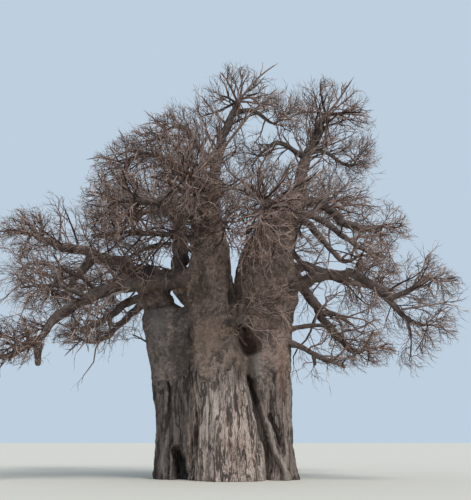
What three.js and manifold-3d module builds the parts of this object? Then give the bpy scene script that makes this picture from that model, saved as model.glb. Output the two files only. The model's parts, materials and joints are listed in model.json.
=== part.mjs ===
import * as THREE from 'three';
import { mergeVertices } from 'three/addons/utils/BufferGeometryUtils.js';
import Module from 'manifold-3d';

const wasm = await Module();
wasm.setup();

// A leafless baobab whose trunk is a clump of fused stems. Lengths are in millimetres, bearings in
// degrees round +Z from +X, and the origin is on the flat cut at ground level.

// Levels of the trunk above the ground
const WAIST = 3200;
const FORK = 7600;
const SHOULDER = 7350;
const HEART_TOP = 6600;

// Gap that touching solids keep, and the swell of a solid used as a cutter
const JOINT_GAP = 0.35;
const CUTTER_SWELL = 0.45;

// Fused stems of the trunk: x, y and radius at the ground, at the waist and at the fork
const STEMS = {
  left: { foot: [-2000, -200, 830], waist: [-2080, -200, 900], fork: [-2700, 0, 1150], top: SHOULDER },
  centre: { foot: [170, -1450, 1290], waist: [-120, -1300, 1060], fork: [-720, -950, 980], top: FORK },
  right: { foot: [2000, -800, 830], waist: [1750, -600, 890], fork: [1650, -350, 1330], top: FORK },
  back_left: { foot: [-1150, 1350, 1350], waist: [-1150, 1400, 1200], fork: [-950, 1650, 800], top: FORK },
  back_right: { foot: [1350, 1300, 1350], waist: [1300, 1300, 1200], fork: [1950, 1450, 900], top: FORK },
  heart: { foot: [0, 200, 1400], waist: [0, 200, 1250], fork: [100, 250, 900], top: HEART_TOP },
};
const DOME_HEIGHT = 900;
const DOME_FLAT = 0.95;
const FLARE_HEIGHT = 1400;
const FLARE = 0.11;
const FLUTES = 7;
const FLUTE_DEPTH = 0.05;
const STEM_SIDES = 24;
const STEM_STEPS = 8;

// Leaders stand on the stems at the fork: x, y, height and radius of their tops
const LEADERS = {
  centre: [-600, -450, 11200, 370],
  right: [3250, 0, 12400, 300],
  back_left: [-1350, 2300, 11400, 350],
  back_right: [2900, 2400, 11600, 350],
};
const LEAN_POWER = 2.4;
const TAPER_POWER = 1.6;
const LEADER_SIDES = 24;
const LEADER_STEPS = 5;

// Boughs: where each springs from (a height on a stem or leader, a share of a bough's length, or its
// tip), its bearing, the reach and rise of its tip, the height of its arch, its sideways sway, its wave,
// and its radius at foot and tip. The twigs at its tip fill a rounded space of its own, whose centre is
// ahead of the tip and lifted over it.
const TIP = 1;
const BOUGHS = {
  left_arch: {
    from: 'centre_leader', at: 8150, bearing: 167, reach: 7050, rise: 1850, arch: -300, sway: -200,
    wave: -150,
    radius: [420, 210], twigs: { ahead: 1250, lift: 600, spread: 1700, height: 1350 },
  },
  left_fork: {
    from: 'left_arch', at: 0.74, bearing: -154, reach: 1250, rise: -1750, arch: 0, sway: 100, wave: 0,
    radius: [220, 120], twigs: { ahead: 900, lift: 100, spread: 1750, height: 1350 },
  },
  left_long: {
    from: 'centre_leader', at: 8300, bearing: -164, reach: 6100, rise: -1900, arch: 450, sway: 0, wave: -150,
    radius: [330, 220],
  },
  left_long_tip: {
    from: 'left_long', at: TIP, bearing: -146, reach: 1000, rise: -1250, arch: -50, sway: 0, wave: 0,
    radius: [215, 130], twigs: { ahead: 800, lift: 100, spread: 1350, height: 1200 },
  },
  left_low: {
    from: 'left_stem', at: 6950, bearing: -144, reach: 4400, rise: -1150, arch: 500, sway: 0, wave: 350,
    radius: [240, 90],
  },
  left_hook: {
    from: 'left_stem', at: 6800, bearing: 157, reach: 3500, rise: -1050, arch: 700, sway: -100, wave: 300,
    radius: [240, 100], twigs: { ahead: 800, lift: 150, spread: 1400, height: 1000 },
  },
  left_riser: {
    from: 'centre_leader', at: 7950, bearing: 128, reach: 2200, rise: 2550, arch: -1400, sway: 500, wave: -200,
    radius: [420, 340],
  },
  back_left: {
    from: 'left_riser', at: TIP, bearing: 123, reach: 4900, rise: 1900, arch: 500, sway: 0, wave: 0,
    radius: [300, 130], twigs: { ahead: 1000, lift: 300, spread: 2400, height: 2000 },
  },
  crown_left: {
    from: 'centre_leader', at: TIP, bearing: -35, reach: 1100, rise: 4400, arch: 0, sway: -400, wave: 0,
    radius: [310, 150], twigs: { ahead: 350, lift: 500, spread: 2500, height: 2150 },
  },
  crown_left_arch: {
    from: 'crown_left', at: 0.95, bearing: 0, reach: 1750, rise: -400, arch: 420, sway: 0, wave: 0,
    radius: [120, 75], twigs: { ahead: 550, lift: 450, spread: 1200, height: 1150 },
  },
  crown_right: {
    from: 'right_leader', at: TIP, bearing: 12, reach: 1000, rise: 3100, arch: 0, sway: 0, wave: 0,
    radius: [270, 170], twigs: { ahead: 550, lift: 550, spread: 2350, height: 1900 },
  },
  crown_right_arch: {
    from: 'crown_right', at: 0.46, bearing: -170, reach: 1950, rise: 200, arch: 400, sway: 0, wave: -150,
    radius: [140, 80], twigs: { ahead: 350, lift: -450, spread: 1300, height: 1100 },
  },
  crown_right_droop: {
    from: 'crown_right', at: 0.52, bearing: 0, reach: 1850, rise: -600, arch: 250, sway: 0, wave: 100,
    radius: [120, 80], twigs: { ahead: 400, lift: 450, spread: 1150, height: 1250 },
  },
  dome_left: {
    from: 'centre_leader', at: 10400, bearing: -150, reach: 4000, rise: 650, arch: 350, sway: 300, wave: 0,
    radius: [290, 130], twigs: { ahead: 350, lift: -50, spread: 1800, height: 2200 },
  },
  dome_mid: {
    from: 'crown_left', at: 0.19, bearing: 157, reach: 4200, rise: 2100, arch: 500, sway: -400, wave: -300,
    radius: [220, 110], twigs: { ahead: 300, lift: -500, spread: 2000, height: 1900 },
  },
  dome_top: {
    from: 'crown_left', at: 0.44, bearing: 154, reach: 2200, rise: 2150, arch: 300, sway: 0, wave: -200,
    radius: [170, 100], twigs: { ahead: 400, lift: -550, spread: 2050, height: 1700 },
  },
  right_upper: {
    from: 'right_leader', at: 11300, bearing: 15, reach: 4300, rise: -500, arch: 400, sway: 0, wave: 400,
    radius: [290, 150], twigs: { ahead: 400, lift: 200, spread: 1500, height: 1400 },
  },
  right_mid: {
    from: 'right_leader', at: 10500, bearing: -35, reach: 3200, rise: -1800, arch: 850, sway: 200, wave: 250,
    radius: [220, 110], twigs: { ahead: 1000, lift: 200, spread: 1400, height: 1250 },
  },
  right_long: {
    from: 'right_leader', at: 7950, bearing: -28, reach: 5400, rise: -800, arch: 600, sway: 0, wave: -270,
    radius: [290, 175],
  },
  right_long_up: {
    from: 'right_long', at: TIP, bearing: -18, reach: 1600, rise: 650, arch: 0, sway: 0, wave: 0,
    radius: [140, 80], twigs: { ahead: 200, lift: -100, spread: 1350, height: 1150 },
  },
  right_long_down: {
    from: 'right_long', at: 0.92, bearing: -10, reach: 1500, rise: -1500, arch: -200, sway: -100, wave: 0,
    radius: [160, 85], twigs: { ahead: 350, lift: 0, spread: 1400, height: 1350 },
  },
  right_low: {
    from: 'right_leader', at: 8300, bearing: 18, reach: 4100, rise: -3000, arch: 750, sway: 0, wave: 450,
    radius: [320, 140], twigs: { ahead: 600, lift: 150, spread: 1400, height: 1050 },
  },
  right_foot: {
    from: 'right_stem', at: 5500, bearing: -23, reach: 3400, rise: -1100, arch: 250, sway: 0, wave: 100,
    radius: [170, 75],
  },
  front_left: {
    from: 'centre_leader', at: 9900, bearing: -100, reach: 3700, rise: 1600, arch: 300, sway: 0, wave: 0,
    radius: [240, 120], twigs: { ahead: 500, lift: 0, spread: 2200, height: 2200 },
  },
  front_right: {
    from: 'right_leader', at: 10000, bearing: -97, reach: 3900, rise: 700, arch: 450, sway: 0, wave: 0,
    radius: [240, 120], twigs: { ahead: 900, lift: -1000, spread: 1800, height: 2600 },
  },
  front_stub: {
    from: 'centre_stem', at: 6000, bearing: -59, reach: 2450, rise: 150, arch: 0, sway: -200, wave: 0,
    radius: [210, 150],
  },
  back_left_low: {
    from: 'back_left_leader', at: 8700, bearing: 145, reach: 6000, rise: 100, arch: 500, sway: 0, wave: -200,
    radius: [310, 130], twigs: { ahead: 1100, lift: 100, spread: 2200, height: 1700 },
  },
  back_mid: {
    from: 'back_left_leader', at: TIP, bearing: 100, reach: 3700, rise: 2500, arch: 0, sway: 0, wave: 0,
    radius: [320, 130], twigs: { ahead: 900, lift: 600, spread: 2300, height: 2000 },
  },
  back_right: {
    from: 'back_right_leader', at: TIP, bearing: 55, reach: 3500, rise: 1700, arch: 0, sway: 0, wave: 0,
    radius: [320, 130], twigs: { ahead: 900, lift: 200, spread: 2300, height: 1800 },
  },
  back_right_low: {
    from: 'back_right_leader', at: 8700, bearing: 35, reach: 5800, rise: 200, arch: 500, sway: 0, wave: 200,
    radius: [310, 130], twigs: { ahead: 800, lift: 100, spread: 1800, height: 1500 },
  },
};
// A bough swells into a collar where it leaves its carrier, and starts this many radii inside it
const COLLAR = 0.4;
const COLLAR_LENGTH = 0.9;
const SUNK_RADII = 1.5;
const BOUGH_SIDES = 7;
const BOUGH_STEP = 850;
const BOUGH_STEPS = [3, 7];

// Twigs of one mass: first twigs spread evenly from a stem, more of them in a wider space, and second
// twigs branch from each of them
const STEM_TAPER = 0.5;
const STEM_TWIG_SIDES = 5;
const STEM_TWIG_STEPS = 2;
const FIRST_COUNT = 3;
const FIRST_SPACING = 500;
const FIRST_FEET = [0.4, 0.98];
const FIRST_RADIUS = 0.32;
const FIRST_ARCH = [0, 0.16];
const FIRST_SWAY = 0.12;
const SECOND_TWIGS = 1;
const SECOND_FEET = [0.3, 0.6];
const SECOND_RADIUS = 0.85;
const SECOND_LENGTH = [0.7, 1.15];
const SPLAY = 0.85;
const SPLAY_LIFT = 0.5;
const LENGTH_TRIES = [1, 0.85, 0.7, 0.55, 0.4];
const SPACE_SHARE = 0.97;
const SPACE_MARGIN = 0.04;
const LIMB_CLEARANCE = 40;
const TEST_STATIONS = [0, 0.2, 0.4, 0.6, 0.8, 1];
const CHAIN_LINKS = 12;
const CHAIN_REACH = 2000;
const CHANCE_STEPS = [127.1, 311.7, 74.7];
const CHANCE_SPREAD = 43758.5453;
const GOLDEN_ANGLE = Math.PI * (3 - Math.sqrt(5));

// Colours of the bark and of the dry twigs
const BARK = { color: 0x7b6e67, roughness: 0.93, metalness: 0 };
const BOUGH_BARK = { color: 0x655850, roughness: 0.92, metalness: 0 };
const TWIG_BARK = { color: 0x5e5049, roughness: 0.9, metalness: 0 };

const UP = new THREE.Vector3(0, 0, 1);
const lerp = THREE.MathUtils.lerp;

// Value of a parabola through one value at the ground, one at the waist and one at the fork
function throughLevels([ground, waist, fork], z) {
  const atGround = (ground * (z - WAIST) * (z - FORK)) / (WAIST * FORK);
  const atWaist = (waist * z * (z - FORK)) / (WAIST * (WAIST - FORK));
  const atFork = (fork * z * (z - WAIST)) / (FORK * (FORK - WAIST));
  return atGround + atWaist + atFork;
}

// A stem of the trunk, from the ground to its top
class Stem {
  constructor({ foot, waist, fork, top }) {
    Object.assign(this, { foot, waist, fork, top, bottom: 0 });
  }

  value(index, z) {
    return throughLevels([this.foot[index], this.waist[index], this.fork[index]], z);
  }

  pointAt(z) {
    return new THREE.Vector3(this.value(0, z), this.value(1, z), z);
  }

  radiusAt(z) {
    const flare = 1 + FLARE * Math.max(0, 1 - z / FLARE_HEIGHT) ** 2;
    const domed = this.top === FORK ? 0 : Math.max(0, 1 - (this.top - z) / DOME_HEIGHT);
    return this.value(2, z) * flare * Math.sqrt(1 - DOME_FLAT * domed ** 2);
  }
}

// A leader that stands on a stem at the fork and leans over as it tapers
class Leader {
  constructor(stem, [x, y, top, radius]) {
    Object.assign(this, { stem, top, radius, bottom: FORK + JOINT_GAP });
    this.head = new THREE.Vector3(x, y, top);
  }

  share(z) {
    return Math.max(0, z - FORK) / (this.top - FORK);
  }

  pointAt(z) {
    const point = this.stem.pointAt(FORK).lerp(this.head, this.share(z) ** LEAN_POWER);
    return point.setZ(z);
  }

  radiusAt(z) {
    return lerp(this.stem.radiusAt(FORK), this.radius, this.share(z) ** TAPER_POWER);
  }

  end() {
    return { point: this.head.clone(), tangent: UP.clone() };
  }
}

// A bough or twig: a straight line from foot to tip, with an arch, a sway and a wave added, which may
// leave its foot along a given direction
class Limb extends THREE.Curve {
  constructor({ foot, tip, arch = 0, sway = 0, wave = 0, radius, heading = null }) {
    super();
    Object.assign(this, { foot, tip, arch, sway, wave, radius });
    const run = new THREE.Vector3().subVectors(tip, foot);
    this.side = new THREE.Vector3(-run.y, run.x, 0).normalize();
    this.turn = new THREE.Vector3();
    if (heading) {
      const leaving = run.clone().addScaledVector(UP, Math.PI * (arch + 2 * wave));
      leaving.addScaledVector(this.side, Math.PI * sway);
      this.turn.copy(heading).multiplyScalar(run.length()).sub(leaving);
    }
  }

  getPoint(t, target = new THREE.Vector3()) {
    const bow = Math.sin(Math.PI * t);
    target.lerpVectors(this.foot, this.tip, t);
    target.addScaledVector(UP, this.arch * bow + this.wave * Math.sin(2 * Math.PI * t));
    target.addScaledVector(this.side, this.sway * bow);
    return target.addScaledVector(this.turn, t * (1 - t) ** 2);
  }

  pointAt(t) {
    return this.getPointAt(t);
  }

  radiusAt(t) {
    return lerp(this.radius[0], this.radius[1], t);
  }

  end() {
    return { point: this.getPointAt(1), tangent: this.getTangentAt(1) };
  }

  // Rings square to the limb, each turned as little as possible from the one before
  rings(start, steps) {
    const normal = new THREE.Vector3(1, 0, 0);
    return Array.from({ length: steps + 1 }, (_, index) => {
      const t = lerp(start, 1, index / steps);
      const tangent = this.getTangentAt(t);
      if (index === 0 && Math.abs(tangent.x) > Math.SQRT1_2) normal.set(0, 1, 0);
      normal.addScaledVector(tangent, -normal.dot(tangent)).normalize();
      const binormal = new THREE.Vector3().crossVectors(tangent, normal);
      return { point: this.getPointAt(t), tangent, normal: normal.clone(), binormal, t };
    });
  }
}

// Closed geometry to solid, and solid to geometry
function solidOf(geometry) {
  geometry.deleteAttribute('normal');
  geometry.deleteAttribute('uv');
  const merged = mergeVertices(geometry);
  const mesh = new wasm.Mesh({
    numProp: 3,
    vertProperties: Float32Array.from(merged.attributes.position.array),
    triVerts: Uint32Array.from(merged.index.array),
  });
  return new wasm.Manifold(mesh);
}

function geometryOf(solid) {
  const { vertProperties, triVerts } = solid.getMesh();
  const geometry = new THREE.BufferGeometry();
  geometry.setAttribute('position', new THREE.BufferAttribute(vertProperties, 3));
  geometry.setIndex(new THREE.BufferAttribute(triVerts, 1));
  geometry.computeVertexNormals();
  return geometry;
}

// The largest of the shells that joining or cutting leaves, with any hollow in it filled
function largest(solid) {
  return solid.decompose().reduce((best, piece) => (piece.volume() > best.volume() ? piece : best));
}

// An upright cylinder whose level rings follow a stem or leader, with shallow flutes up its sides
function columnSolid(column, sides, steps, swell = 0) {
  const geometry = new THREE.CylinderGeometry(1, 1, 1, sides, steps).rotateX(Math.PI / 2);
  const position = geometry.attributes.position;
  for (let i = 0; i < position.count; i += 1) {
    const share = position.getZ(i) + 0.5;
    const z = lerp(column.bottom, column.top, share);
    const angle = Math.atan2(position.getY(i), position.getX(i));
    const centre = column.pointAt(z);
    const flute = 1 + FLUTE_DEPTH * Math.cos(FLUTES * angle + centre.x);
    const reach = Math.hypot(position.getX(i), position.getY(i)) * (column.radiusAt(z) * flute + swell);
    const lift = swell * (2 * share - 1);
    position.setXYZ(i, centre.x + reach * Math.cos(angle), centre.y + reach * Math.sin(angle), z + lift);
  }
  return solidOf(geometry);
}

// A cylinder, or a cone for a pointed twig, bent along a limb from a share of its length to its tip
function limbSolid(limb, { sides, steps, start = 0, collar = () => 1, pointed = false, swell = 0 }) {
  const geometry = new THREE.CylinderGeometry(pointed ? 0 : 1, 1, 1, sides, steps);
  const rings = limb.rings(start, steps);
  const position = geometry.attributes.position;
  for (let i = 0; i < position.count; i += 1) {
    const share = position.getY(i) + 0.5;
    const { point, tangent, normal, binormal, t } = rings[Math.round(share * steps)];
    const radius = (pointed ? limb.radius[0] : limb.radiusAt(t)) * collar(t) + swell;
    const vertex = point.clone().addScaledVector(tangent, swell * (2 * share - 1));
    vertex.addScaledVector(normal, position.getX(i) * radius);
    vertex.addScaledVector(binormal, -position.getZ(i) * radius);
    position.setXYZ(i, vertex.x, vertex.y, vertex.z);
  }
  return solidOf(geometry);
}

// Everything that carries a limb, by name
const stems = Object.fromEntries(Object.entries(STEMS).map(([name, row]) => [name, new Stem(row)]));
const carriers = {};
for (const [name, stem] of Object.entries(stems)) {
  carriers[`${name}_stem`] = stem;
}
for (const [name, row] of Object.entries(LEADERS)) {
  carriers[`${name}_leader`] = new Leader(stems[name], row);
}

// The limb that a row of the bough table describes, found from what carries it
function boughLimb({ from, at, bearing, reach, rise, arch, sway, wave, radius }) {
  const carrier = carriers[from];
  const continues = at === TIP;
  const end = continues ? carrier.end() : null;
  const foot = continues ? end.point.addScaledVector(end.tangent, JOINT_GAP) : carrier.pointAt(at);
  const angle = THREE.MathUtils.degToRad(bearing);
  const tip = foot.clone().add(new THREE.Vector3(reach * Math.cos(angle), reach * Math.sin(angle), rise));
  const limb = new Limb({ foot, tip, arch, sway, wave, radius, heading: end?.tangent });
  const depth = continues ? 0 : carrier.radiusAt(at);
  limb.start = Math.max(0, depth - SUNK_RADII * radius[0]) / limb.getLength();
  limb.collar = (t) => {
    if (continues) return 1;
    const clear = Math.max(0, t * limb.getLength() - depth);
    return 1 + COLLAR * Math.exp(-clear / (COLLAR_LENGTH * radius[0]));
  };
  return limb;
}

for (const [name, row] of Object.entries(BOUGHS)) {
  carriers[name] = boughLimb(row);
}

function boughSolid(limb, swell = 0) {
  const steps = THREE.MathUtils.clamp(Math.round(limb.getLength() / BOUGH_STEP), ...BOUGH_STEPS);
  return limbSolid(limb, { sides: BOUGH_SIDES, steps, start: limb.start, collar: limb.collar, swell });
}

// The space of a mass: an ellipsoid ahead of the tip of its bough
class Space {
  constructor(limb, { ahead, lift, spread, height }) {
    const { point } = limb.end();
    const heading = new THREE.Vector3().subVectors(limb.tip, limb.foot).setZ(0).normalize();
    this.centre = point.addScaledVector(heading, ahead).addScaledVector(UP, lift);
    this.half = new THREE.Vector3(spread, spread, height);
  }

  depth(point) {
    return new THREE.Vector3().subVectors(point, this.centre).divide(this.half).length();
  }
}

const masses = Object.entries(BOUGHS)
  .filter(([, row]) => row.twigs)
  .map(([name, { twigs }], index) => ({
    name,
    seed: index + 1,
    space: new Space(carriers[name], twigs),
    count: Math.round(FIRST_COUNT + twigs.spread / FIRST_SPACING),
  }));

// Repeatable chance from 0 to 1 for one choice of one twig
function chance(seed, twig, choice) {
  const [bySeed, byTwig, byChoice] = CHANCE_STEPS;
  const wave = Math.sin(seed * bySeed + twig * byTwig + choice * byChoice) * CHANCE_SPREAD;
  return wave - Math.floor(wave);
}

// The stem of a mass runs from the tip of its bough to the middle of its space
function massStem({ name, space }) {
  const bough = carriers[name];
  const { point, tangent } = bough.end();
  const foot = point.addScaledVector(tangent, JOINT_GAP);
  const radius = [bough.radius[1], bough.radius[1] * STEM_TAPER];
  return new Limb({ foot, tip: space.centre.clone(), radius, heading: tangent });
}

for (const mass of masses) {
  mass.stem = massStem(mass);
}

// Everything that a twig keeps clear of, as chains of round sections
function chainOf(curve, from, to, owner = null) {
  const links = Array.from({ length: CHAIN_LINKS + 1 }, (_, i) => {
    const place = lerp(from, to, i / CHAIN_LINKS);
    return { point: curve.pointAt(place), radius: curve.radiusAt(place) };
  });
  const box = new THREE.Box3().setFromPoints(links.map((link) => link.point));
  return { links, box, owner };
}

const leaders = Object.keys(LEADERS).map((name) => carriers[`${name}_leader`]);
const chains = [
  ...[...Object.values(stems), ...leaders].map((column) => chainOf(column, column.bottom, column.top)),
  ...Object.keys(BOUGHS).map((name) => chainOf(carriers[name], 0, 1)),
  ...masses.map((mass) => chainOf(mass.stem, 0, 1, mass)),
];

function touchesChain(point, radius, { links, box }) {
  if (box.distanceToPoint(point) > CHAIN_REACH) return false;
  const nearest = new THREE.Vector3();
  const line = new THREE.Line3();
  return links.slice(1).some((link, i) => {
    line.set(links[i].point, link.point);
    const share = line.closestPointToPointParameter(point, true);
    line.at(share, nearest);
    const reach = lerp(links[i].radius, link.radius, share) * (1 + FLUTE_DEPTH) + radius + LIMB_CLEARANCE;
    return nearest.distanceTo(point) < reach;
  });
}

// True where a point of a twig is in its own space, nearer to it than to any other, and off every limb
function isFree(mass, point, radius) {
  const depth = mass.space.depth(point);
  if (depth > 1) return false;
  if (masses.some((other) => other !== mass && other.space.depth(point) < depth + SPACE_MARGIN)) return false;
  return !chains.some((chain) => chain.owner !== mass && touchesChain(point, radius, chain));
}

function keepsToSpace(mass, twig) {
  return TEST_STATIONS.every((t) => isFree(mass, twig.getPoint(t), twig.radius[0] * (1 - t)));
}

// The longest of a few lengths of a twig that keeps to its space
function fitted(mass, makeTwig) {
  return LENGTH_TRIES.map(makeTwig).find((twig) => keepsToSpace(mass, twig));
}

// First twig: from the stem towards the skin of the space, evenly spread over it
function firstTwig(mass, index) {
  const height = 1 - (2 * index + 1) / mass.count;
  const angle = index * GOLDEN_ANGLE + 2 * Math.PI * chance(mass.seed, 0, 1);
  const ring = Math.sqrt(1 - height * height);
  const direction = new THREE.Vector3(ring * Math.cos(angle), ring * Math.sin(angle), height);
  const skin = direction.multiply(mass.space.half).multiplyScalar(SPACE_SHARE).add(mass.space.centre);
  const foot = mass.stem.getPoint(lerp(...FIRST_FEET, (index + chance(mass.seed, index, 2)) / mass.count));
  const radius = [mass.stem.radius[0] * FIRST_RADIUS, 0];
  return fitted(mass, (share) => {
    const tip = foot.clone().lerp(skin, share);
    const length = foot.distanceTo(tip);
    const arch = length * lerp(...FIRST_ARCH, chance(mass.seed, index, 3));
    const sway = length * lerp(-FIRST_SWAY, FIRST_SWAY, chance(mass.seed, index, 4));
    return new Limb({ foot, tip, arch, sway, radius });
  });
}

// Second twig: from the side of a first twig, splayed out from it to one side or the other
function secondTwig(mass, parent, order, index) {
  const t = lerp(...SECOND_FEET, (order + chance(mass.seed, index, 5)) / SECOND_TWIGS);
  const foot = parent.getPoint(t);
  const heading = parent.getTangent(t);
  const roll = Math.PI * (order + chance(mass.seed, index, 6));
  const aside = new THREE.Vector3(Math.cos(roll), Math.sin(roll), SPLAY_LIFT).cross(heading).normalize();
  heading.addScaledVector(aside, SPLAY).normalize();
  const radius = [parent.radius[0] * (1 - t) * SECOND_RADIUS, 0];
  const length = foot.distanceTo(parent.tip) * lerp(...SECOND_LENGTH, chance(mass.seed, index, 7));
  return fitted(mass, (share) => (
    new Limb({ foot, tip: foot.clone().addScaledVector(heading, length * share), radius })
  ));
}

function massTwigs(mass) {
  const firsts = Array.from({ length: mass.count }, (_, i) => firstTwig(mass, i)).filter(Boolean);
  const seconds = firsts.flatMap((twig, i) => Array.from({ length: SECOND_TWIGS }, (_, order) => (
    secondTwig(mass, twig, order, i * SECOND_TWIGS + order)
  )));
  return { firsts, seconds: seconds.filter(Boolean) };
}

function massSolid(mass) {
  const { firsts, seconds } = massTwigs(mass);
  const stem = limbSolid(mass.stem, { sides: STEM_TWIG_SIDES, steps: STEM_TWIG_STEPS });
  const first = firsts.map((twig) => limbSolid(twig, { sides: 3, steps: 2, pointed: true }));
  const second = seconds.map((twig) => limbSolid(twig, { sides: 3, steps: 1, pointed: true }));
  return wasm.Manifold.union([stem, ...first, ...second]);
}

// Each solid is cut clear of those before it, by the same shapes swollen
const cutters = [];
function boxesMeet(a, b) {
  return [0, 1, 2].every((axis) => a.min[axis] <= b.max[axis] && b.min[axis] <= a.max[axis]);
}

function cutClear(solid, spared) {
  const meeting = cutters.filter(({ name, cutter }) => (
    name !== spared && boxesMeet(solid.boundingBox(), cutter.boundingBox())
  ));
  return largest(meeting.reduce((rest, { cutter }) => rest.subtract(cutter), solid));
}

const tree = new THREE.Group();
function addPart(name, solid, finish) {
  const mesh = new THREE.Mesh(geometryOf(solid), new THREE.MeshStandardMaterial(finish));
  mesh.name = name;
  tree.add(mesh);
}

function addTrunk() {
  const union = (swell) => wasm.Manifold.union(
    Object.values(stems).map((stem) => columnSolid(stem, STEM_SIDES, STEM_STEPS, swell)),
  );
  addPart('trunk', largest(union(0)), BARK);
  cutters.push({ name: 'trunk', cutter: union(CUTTER_SWELL) });
}

function addLeader(name) {
  const leader = carriers[`${name}_leader`];
  const solid = cutClear(columnSolid(leader, LEADER_SIDES, LEADER_STEPS), 'trunk');
  addPart(`${name}_leader`, solid, BARK);
  const cutter = columnSolid(leader, LEADER_SIDES, LEADER_STEPS, CUTTER_SWELL);
  cutters.push({ name: `${name}_leader`, cutter });
}

function addBough(name) {
  const { from, at } = BOUGHS[name];
  const solid = cutClear(boughSolid(carriers[name]), at === TIP ? from : null);
  addPart(`${name}_bough`, solid, BOUGH_BARK);
  cutters.push({ name, cutter: boughSolid(carriers[name], CUTTER_SWELL) });
}

function addMass(mass) {
  addPart(`${mass.name}_twigs`, cutClear(massSolid(mass), mass.name), TWIG_BARK);
}

addTrunk();
Object.keys(LEADERS).forEach(addLeader);
Object.keys(BOUGHS).forEach(addBough);
masses.forEach(addMass);

export default tree;
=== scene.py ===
"""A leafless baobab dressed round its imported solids, with relief on its bark and masses of fine twigs."""

from __future__ import annotations

import json
import logging
import math
from collections.abc import Callable, Sequence
from dataclasses import dataclass, field
from enum import Enum

import bpy
import numpy as np
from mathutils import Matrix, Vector

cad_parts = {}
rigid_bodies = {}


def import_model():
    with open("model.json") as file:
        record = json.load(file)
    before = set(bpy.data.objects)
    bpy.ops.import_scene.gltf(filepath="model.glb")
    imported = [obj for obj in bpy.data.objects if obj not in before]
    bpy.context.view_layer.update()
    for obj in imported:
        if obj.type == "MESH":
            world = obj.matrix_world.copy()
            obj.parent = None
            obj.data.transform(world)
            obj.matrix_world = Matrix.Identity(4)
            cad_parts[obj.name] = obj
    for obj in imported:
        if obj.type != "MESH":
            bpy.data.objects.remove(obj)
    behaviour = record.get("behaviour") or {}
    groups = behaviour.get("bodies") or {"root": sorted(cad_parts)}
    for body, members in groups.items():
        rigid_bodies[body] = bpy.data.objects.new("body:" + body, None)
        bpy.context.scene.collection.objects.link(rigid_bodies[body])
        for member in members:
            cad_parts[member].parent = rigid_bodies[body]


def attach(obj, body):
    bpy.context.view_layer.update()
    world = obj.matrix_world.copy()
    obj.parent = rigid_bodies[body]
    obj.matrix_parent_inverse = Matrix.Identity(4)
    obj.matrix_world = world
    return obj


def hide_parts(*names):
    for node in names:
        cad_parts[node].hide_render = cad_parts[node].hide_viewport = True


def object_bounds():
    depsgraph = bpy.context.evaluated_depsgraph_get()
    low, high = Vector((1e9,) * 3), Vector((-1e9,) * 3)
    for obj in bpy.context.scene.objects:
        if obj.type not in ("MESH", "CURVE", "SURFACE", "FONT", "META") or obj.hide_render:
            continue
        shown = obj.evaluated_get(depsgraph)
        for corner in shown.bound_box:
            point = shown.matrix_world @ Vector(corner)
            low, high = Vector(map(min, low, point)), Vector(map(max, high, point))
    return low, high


for leftover in list(bpy.data.objects):
    bpy.data.objects.remove(leftover)
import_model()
CAD_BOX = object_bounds()

LOG = logging.getLogger("baobab")
BODY = "root"
Array = np.ndarray
Piece = bpy.types.Object
Material = bpy.types.Material
Socket = bpy.types.NodeSocket
Triple = tuple[float, float, float]
Colour = tuple[int, int, int]

# Directions and levels, in metres above the flat cut at the ground
UP = np.array((0.0, 0.0, 1.0))
LEANING_UP = UP + 0.01
WAIST = 3.2
FORK = 7.6
SHOULDER = 7.35
HEART_TOP = 6.6
TWIGS_FROM = 8.9

# The turn from one twig to the next, the least length that counts, and what scrambles the chances
GOLDEN_ANGLE = math.pi * (3 - math.sqrt(5))
TINY = 1e-9
SEED_STEP, TWIG_STEP, CHOICE_STEP, SCRAMBLE = 127.1, 311.7, 74.7, 43758.5453

# The first numbers that the chances of boughs and leaders start from, and the leaders' side twigs
BOUGH_SEEDS, LEADER_SEEDS, SLENDER_SEEDS = 101, 201, 301
LEADER_SPACING = 0.07
LEADER_STRANDS = (0.5, 2.2)


def lerp(low: Array | float, high: Array | float, share: Array | float) -> Array | float:
    """Returns the value that lies a share of the way from low to high."""
    return low + (high - low) * share


def unit(vectors: Array) -> Array:
    """Returns vectors of length one along the last axis."""
    return vectors / np.maximum(np.linalg.norm(vectors, axis=-1, keepdims=True), TINY)


def ease(low: float, high: float, values: Array) -> Array:
    """Returns 0 below low, 1 above high and a smooth rise between them."""
    share = np.clip((values - low) / (high - low), 0.0, 1.0)
    return share * share * (3 - 2 * share)


def chance(seed: int, twig: Array | float, choice: int) -> Array:
    """Gives each twig a repeatable chance from 0 to 1, by the number of its mass and of the choice."""
    wave = np.sin(seed * SEED_STEP + np.asarray(twig, float) * TWIG_STEP + choice * CHOICE_STEP) * SCRAMBLE
    return wave - np.floor(wave)


# Limbs and what carries them


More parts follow.
